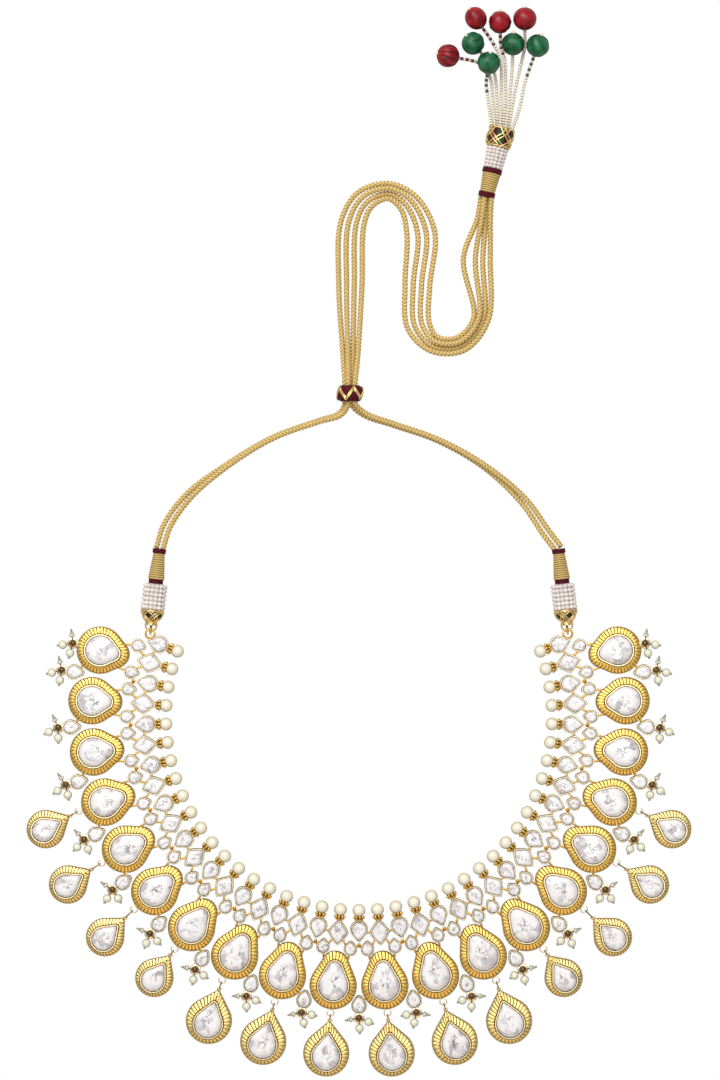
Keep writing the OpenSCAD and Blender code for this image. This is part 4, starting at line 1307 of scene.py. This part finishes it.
@part
def knot_wires(bm):
    """Zigzag of three wires round the barrel with a green knot at each peak."""
    samples, inset, bead_sink, low, reach = 16, 0.25, 0.6, 0.17, 0.66
    steps = KNOT_PEAKS * samples
    r = KNOT_D / 2 - inset
    for step in (-0.5, 0, 0.5):
        path = []
        for k in range(steps + 1):
            s = low + reach * abs(2 * (k / samples % 1) - 1)
            out = r - KNOT_WAIST * (1 - math.sin(math.pi * s) ** 0.5)
            a = math.tau * k / steps
            path.append(Vector((out * math.cos(a), out * math.sin(a), KNOT_L * s + step)))
        tube(bm, path, KNOT_WIRE_R, sides=6, slot=1)
    for k in range(KNOT_PEAKS):
        for s, a in ((0.84, k), (0.16, k + 0.5)):
            a *= math.tau / KNOT_PEAKS
            out = r - bead_sink
            ball(bm, KNOT_BEAD_R, (out * math.cos(a), out * math.sin(a), KNOT_L * s), around=12, rows=8,
                 stretch=(1, 1, 0.8), slot=2)


def groove(style, t, a):
    """Height of an end bead's surface between its grooves, as a share, and the depth of the grooves."""
    if style == "red ribbed":
        return abs(math.sin(5 * a)) ** 0.5, 0.07
    if style == "green spiral":
        return abs(math.sin(2.5 * a + 2.2 * t)) ** 0.45, 0.08
    if style == "green carved":
        return min(abs(math.sin(3 * a + t)), abs(math.sin(2.5 * t))) ** 0.45, 0.08
    return 1, 0


@part
def end_bead(bm, style):
    """End bead along Z: ribbed, oval, faceted, spirally grooved, carved or plain."""
    radius, half = OVAL_END if style == "red oval" else ROUND_END
    faceted = style == "red faceted"
    around, rows = (9, 6) if faceted else (60, 28)

    def place(k, u):
        t = math.pi * k / rows
        a = math.tau * (u + (0.5 / around if faceted and k % 2 else 0))
        high, depth = groove(style, t, a)
        fade = math.sin(t) ** 0.5
        share = 1 - depth * (1 - high) * fade
        r = radius * share * math.sin(t)
        # Tone: painted shade in the grooves
        return (r * math.cos(a), r * math.sin(a), -half * share * math.cos(t)), (1 - high) * fade

    skin(bm, around, range(rows + 1), place, smooth=not faceted)


@part
def seed_disc(bm):
    """Seed bead with rounded edges, its hole along Z, with painted shade through tone on the flat ends that
    face its neighbours.
    """
    turning(bm, [(0.2, -0.46, 1), (0.46, -0.46, 0.9), (0.66, -0.2, 0), (0.66, 0.2, 0), (0.46, 0.46, 0.9),
                 (0.2, 0.46, 1)], 10)


def string_route(k):
    across = (k - 3.5) * STRING_STEP
    start = tassel() @ Vector((across, TASSEL_CAP_FROM + TASSEL_CAP_L - MOUTH_L + SEAT_GAP,
                               TASSEL_Z + STRING_RISE * (1 if k % 2 else -1)))
    return [start, *(Vector((x, y, STRING_LIE)) for x, y in STRINGS[k][2])]


def tassel_strings(cream, red, green, bead_materials):
    """Strings of seed beads from the cap, coloured towards their end beads."""
    bm = assembly()
    ends = {"red": assembly(), "green": assembly()}
    for k, (style, place, _, before) in enumerate(STRINGS):
        route = string_route(k)
        end = Vector(place)
        run = (end - route[-1]).normalized()
        path = smooth_path([*route, end - BEAD_D / 2 * run], SEED_STEP, STRING_LIE)
        for left, (p, _, _, forward) in zip(reversed(range(len(path))), path_frames(path)):
            coloured_bead = before != "cream" and left < COLOURED_BEADS and left % 2
            slot = ("cream", "red", "green").index(before) if coloured_bead else 0
            add_part(bm, seed_disc(), Matrix.Translation(p) @ facing(forward), slot=slot)
        add_part(bm, ball_part(TIP_BEAD_R, around=12, rows=8),
                 Matrix.Translation(end + (BEAD_D / 2 + TIP_GAP) * run))
        add_part(ends[style.split()[0]], end_bead(style), Matrix.Translation(end) @ facing(run))
    piece("tassel_seed_beads", bm, [cream, red, green], ["tassel_strings"])
    for colour, made in ends.items():
        piece(f"tassel_{colour}_ends", made, bead_materials[colour],
              [f"tassel_{colour}_beads"], crease=32)


def tassel_head(woven, beads, wound_materials):
    """Binding, beaded sleeve and woven cap of the tassel."""
    place = tassel()
    binding("tassel_binding", place, TASSEL_Z, 0, WRAP_L, (3.0, 2.7, 3.3, 3.5), wound_materials)
    single("tassel_sleeve_beads", "tassel_sleeve",
           sleeve_beads(TASSEL_SLEEVE_L, TASSEL_SLEEVE_FROM_D, TASSEL_SLEEVE_D, 13, 6),
           place @ along(TASSEL_SLEEVE_FROM, TASSEL_Z), beads)
    single("tassel_cap_weave", "tassel_cap", woven_cap(TASSEL_CAP_ROWS, 5, math.tau * 0.24, 0),
           place @ along(TASSEL_CAP_FROM, TASSEL_Z), woven)


# Stage


def white_ground(bounce):
    """Ground that is plain white in the picture and gives back only a dim light to the necklace."""
    made, tree, shader = blank("white_ground")
    settings(shader, Base_Color=bounce, Roughness=0.9)
    seen = add(tree, "ShaderNodeEmission", {"Color": (1, 1, 1, 1), "Strength": 1.0})
    picture = add(tree, "ShaderNodeLightPath").outputs["Is Camera Ray"]
    both = add(tree, "ShaderNodeMixShader", {0: picture, 1: shader.outputs[0], 2: seen.outputs[0]})
    tree.links.new(both.outputs[0], tree.nodes["Material Output"].inputs["Surface"])
    return made


def softbox(name, place, aim, size, watts, colour):
    light = bpy.data.lights.new(name, "AREA")
    light.shape = "RECTANGLE"
    light.size, light.size_y = size
    light.energy = watts
    light.color = colour
    made = bpy.data.objects.new(name, light)
    made.location = place
    made.rotation_euler = (Vector(aim) - Vector(place)).to_track_quat("-Z", "Y").to_euler()
    bpy.context.scene.collection.objects.link(made)


def sky(colour, strength):
    world = bpy.data.worlds.new("studio")
    world.use_nodes = True
    background = world.node_tree.nodes["Background"]
    background.inputs["Color"].default_value = (*colour, 1)
    background.inputs["Strength"].default_value = strength
    bpy.context.scene.world = world


def camera(view_h):
    """Camera straight down on the photograph's frame."""
    data = bpy.data.cameras.new("photo_camera")
    data.sensor_fit = "AUTO"
    data.sensor_width = SENSOR
    data.lens = SENSOR * CAMERA_UP / view_h
    data.clip_end = 10
    made = bpy.data.objects.new("photo_camera", data)
    made.location = (MM * VIEW_X, MM * VIEW_Y, CAMERA_UP)
    bpy.context.scene.collection.objects.link(made)
    bpy.context.scene.camera = made


# Add-on


def colour_property(name, description, default):
    return bpy.props.FloatVectorProperty(
        name=name, description=description, subtype="COLOR", size=3, min=0, max=1, default=default)


def length_property(name, description, default, low, high):
    return bpy.props.FloatProperty(name=name, description=description, subtype="DISTANCE", unit="LENGTH",
                                   default=default, min=low, max=high)


def count_property(name, description, default, low, high):
    return bpy.props.IntProperty(name=name, description=description, subtype="UNSIGNED", default=default,
                                 min=low, max=high)


class NecklaceSettings(bpy.types.PropertyGroup):
    """Sizes and colours of the necklace"""
    view_height: length_property("View height", "Height of what the camera sees", MM * VIEW_H, 0.1, 1)
    braid_turn: length_property("Braid turn", "Length of a yarn's turn round a cord", 0.005, 0.003, 0.01)
    ridges: count_property("Rim ridges", "Ridges round a large setting", 40, 24, 44)
    drop_ridges: count_property("Drop ridges", "Ridges round a drop", 36, 24, 40)
    collar_gold: colour_property("Collar gold", "Raised gold of the collar", (1.0, 0.68, 0.18))
    # Colour of the painted shade in the grooves and on the walls of the collar
    collar_groove: colour_property("Collar grooves", "Gold in the grooves of the collar", (0.28, 0.1, 0.015))
    drop_gold: colour_property("Drop gold", "Raised gold of the drops", (1.0, 0.76, 0.3))
    # Colour of the painted shade in the grooves and on the walls of the drops
    drop_groove: colour_property("Drop grooves", "Gold in the grooves of the drops", (0.26, 0.12, 0.025))
    pale_gold: colour_property("Pale gold", "Small settings, petals, lips and rings", (1.0, 0.86, 0.55))
    wire_gold: colour_property("Wire", "Links and pins", (0.3, 0.18, 0.07))
    pearl: colour_property("Pearls", "Pearls along the neck edge", (1.0, 0.96, 0.82))
    seed_pearl: colour_property("Seed pearls", "Pearls of the sprays", (0.92, 0.91, 0.72))
    seed_bead: colour_property("Sleeve beads", "Seed beads of the sleeves", (0.95, 0.87, 0.84))
    cream_bead: colour_property("Tassel beads", "Seed beads of the tassel", (0.97, 0.88, 0.72))
    braid: colour_property("Cords", "Metallic thread of the braided cords", (1.0, 0.73, 0.28))
    braid_core: colour_property("Cord core", "Dark core between the yarns", (0.16, 0.07, 0.03))
    maroon: colour_property("Dark red thread", "Wound bands and the sliding knot", (0.14, 0.004, 0.016))
    green_thread: colour_property("Green thread", "Thread under the woven gold wire", (0.02, 0.14, 0.08))
    thread_gold: colour_property("Woven gold", "Gold wire of the caps and the knot", (1.0, 0.76, 0.35))
    wound_gold: colour_property("Wound gold", "Gold thread of the bindings", (1.0, 0.72, 0.26))
    red_bead: colour_property("Red beads", "Red beads at the ends of the tassel", (0.4, 0.008, 0.02))
    green_bead: colour_property("Green beads", "Green beads at the ends of the tassel", (0.02, 0.22, 0.09))


def yellowed(colour, share):
    """Darker and yellower: the painted shade at the rim of a pearl, beside its middle."""
    return (share * colour[0], 0.88 * share * colour[1], 0.5 * share * colour[2])


def shades(values, name, share):
    """A colour of the settings and its darker share."""
    colour = tuple(getattr(values, name))
    return colour, darker(colour, share)


def wire_of(values):
    return gold("antique_wire", *shades(values, "wire_gold", 0.3), 0.26, 0.42)


def pale_gold_of(values):
    # Pale gold, with a painted shade of its own colour where tone is high
    return gold("pale_gold", *shades(values, "pale_gold", 0.16), 0.2, 0.34)


def maroon_of(values):
    return thread("dark_red_thread", *shades(values, "maroon", 0.3))


def woven_wire_of(values):
    return gold("woven_wire", *shades(values, "thread_gold", 0.4), 0.3, 0.46)


def wound_of(values):
    return [maroon_of(values), thread("wound_gold", *shades(values, "wound_gold", 0.16), 0.1, 0.4)]


def woven_of(values):
    green = thread("green_thread", *shades(values, "green_thread", 0.3))
    return [woven_wire_of(values), green, maroon_of(values)]


def sleeve_of(values):
    return [lustre("sleeve_bead", *shades(values, "seed_bead", 0.75), low=2, high=5.5)]


class NECKLACE_OT_view(bpy.types.Operator):
    """Set the camera straight above the necklace"""
    bl_idname = "necklace.view"
    bl_label = "View"

    def execute(self, context):
        camera(context.scene.necklace.view_height)
        return {"FINISHED"}


class NECKLACE_OT_cords(bpy.types.Operator):
    """Add the four braided cords and the knot that slides on them"""
    bl_idname = "necklace.cords"
    bl_label = "Cords and knot"

    def execute(self, context):
        values = context.scene.necklace
        green = thread("green_knots", *shades(values, "green_thread", 0.4))
        knot([maroon_of(values), woven_wire_of(values), green])
        yarn = thread("braid_yarn", *shades(values, "braid", 0.12), 0.1, 0.4)
        core = thread("braid_core", *shades(values, "braid_core", 1))
        strands(values.braid_turn / MM, [yarn, core])
        return {"FINISHED"}


class NECKLACE_OT_collar(bpy.types.Operator):
    """Add the twenty gold units of the collar"""
    bl_idname = "necklace.collar"
    bl_label = "Collar"

    def execute(self, context):
        values = context.scene.necklace
        metal = [gold("collar_gold_metal", tuple(values.collar_gold), tuple(values.collar_groove)),
                 pale_gold_of(values)]
        for side, i in both_sides(UNITS):
            collar_unit(side, i, values.ridges, metal)
        return {"FINISHED"}


class NECKLACE_OT_drops(bpy.types.Operator):
    """Add the fourteen hanging drops and their links"""
    bl_idname = "necklace.drops"
    bl_label = "Drops"

    def execute(self, context):
        values = context.scene.necklace
        metal = [gold("drop_gold_metal", tuple(values.drop_gold), tuple(values.drop_groove)),
                 pale_gold_of(values)]
        for side, i in both_sides(DROPS):
            drop(side, i, values.drop_ridges, metal)
        links([wire_of(values)])
        return {"FINISHED"}


class NECKLACE_OT_stones(bpy.types.Operator):
    """Add the foil-backed stones"""
    bl_idname = "necklace.stones"
    bl_label = "Stones"

    def execute(self, context):
        collar_stones([stone_finish()])
        return {"FINISHED"}


class NECKLACE_OT_pearls(bpy.types.Operator):
    """Add the pearls along the neck and the sprays between the settings"""
    bl_idname = "necklace.pearls"
    bl_label = "Pearls and sprays"

    def execute(self, context):
        values = context.scene.necklace
        pearl = lustre("pearl_lustre", tuple(values.pearl), yellowed(values.pearl, 0.6), 0.2, PEARL_Z,
                       PEARL_Z + PEARL_D / 2)
        seed_pearl = lustre("seed_pearl_lustre", *shades(values, "seed_pearl", 0.3), 0.2, SPRAY_Z,
                            SPRAY_Z + 0.85 * SEED_PEARL_D / 2)
        pearl_ring([pearl])
        sprays([seed_pearl], [wire_of(values)])
        return {"FINISHED"}


class NECKLACE_OT_fittings(bpy.types.Operator):
    """Add the woven caps, beaded sleeves and bindings at the ends of the collar"""
    bl_idname = "necklace.fittings"
    bl_label = "End fittings"

    def execute(self, context):
        values = context.scene.necklace
        for side in (-1, 1):
            end_fitting(side, woven_of(values), sleeve_of(values), wound_of(values))
        return {"FINISHED"}


class NECKLACE_OT_tassel(bpy.types.Operator):
    """Add the beaded tassel"""
    bl_idname = "necklace.tassel"
    bl_label = "Tassel"

    def execute(self, context):
        values = context.scene.necklace
        tassel_head(woven_of(values), sleeve_of(values), wound_of(values))
        beads = {
            "red": [glass_bead("red_glass", *shades(values, "red_bead", 0.4))],
            "green": [glass_bead("green_glass", *shades(values, "green_bead", 0.35))]}
        cream = lustre("cream_bead_glaze", *shades(values, "cream_bead", 0.7), 0.3, 0.3, 1.2)
        red = lustre("red_seed_glaze", darker(values.red_bead, 0.4), darker(values.red_bead, 0.3))
        green = lustre("green_seed_glaze", darker(values.green_bead, 0.4), darker(values.green_bead, 0.3))
        tassel_strings(cream, red, green, beads)
        return {"FINISHED"}


class NECKLACE_OT_stage(bpy.types.Operator):
    """Add the white ground and the studio lights"""
    bl_idname = "necklace.stage"
    bl_label = "Stage"

    def execute(self, context):
        bpy.ops.mesh.primitive_plane_add(size=4, location=(0, MM * VIEW_Y, 0))
        ground = context.object
        ground.name = "ground"
        ground.data.materials.append(white_ground(GROUND_BOUNCE))
        sky((1, 1, 1), SKY_STRENGTH)
        for light in SOFTBOXES:
            softbox(*light)
        context.scene.view_settings.view_transform = "Standard"
        return {"FINISHED"}


STEPS = (NECKLACE_OT_view, NECKLACE_OT_cords, NECKLACE_OT_collar, NECKLACE_OT_drops, NECKLACE_OT_stones,
         NECKLACE_OT_pearls, NECKLACE_OT_fittings, NECKLACE_OT_tassel, NECKLACE_OT_stage)


class NECKLACE_PT_panel(bpy.types.Panel):
    """Settings of the necklace and its steps"""
    bl_label = "Kundan necklace"
    bl_space_type = "VIEW_3D"
    bl_region_type = "UI"
    bl_category = "Necklace"

    def draw(self, context):
        for name in NecklaceSettings.__annotations__:
            self.layout.prop(context.scene.necklace, name)
        for step in STEPS:
            self.layout.operator(step.bl_idname)


def register():
    for made in (NecklaceSettings, *STEPS, NECKLACE_PT_panel):
        bpy.utils.register_class(made)
    bpy.types.Scene.necklace = bpy.props.PointerProperty(type=NecklaceSettings)


def unregister():
    del bpy.types.Scene.necklace
    for made in (NECKLACE_PT_panel, *reversed(STEPS), NecklaceSettings):
        bpy.utils.unregister_class(made)


def main():
    register()
    bpy.ops.necklace.view()
    bpy.ops.necklace.cords()
    bpy.ops.necklace.collar()
    bpy.ops.necklace.drops()
    bpy.ops.necklace.stones()
    bpy.ops.necklace.pearls()
    bpy.ops.necklace.fittings()
    bpy.ops.necklace.tassel()
    bpy.ops.necklace.stage()


if __name__ == "__main__":
    main()
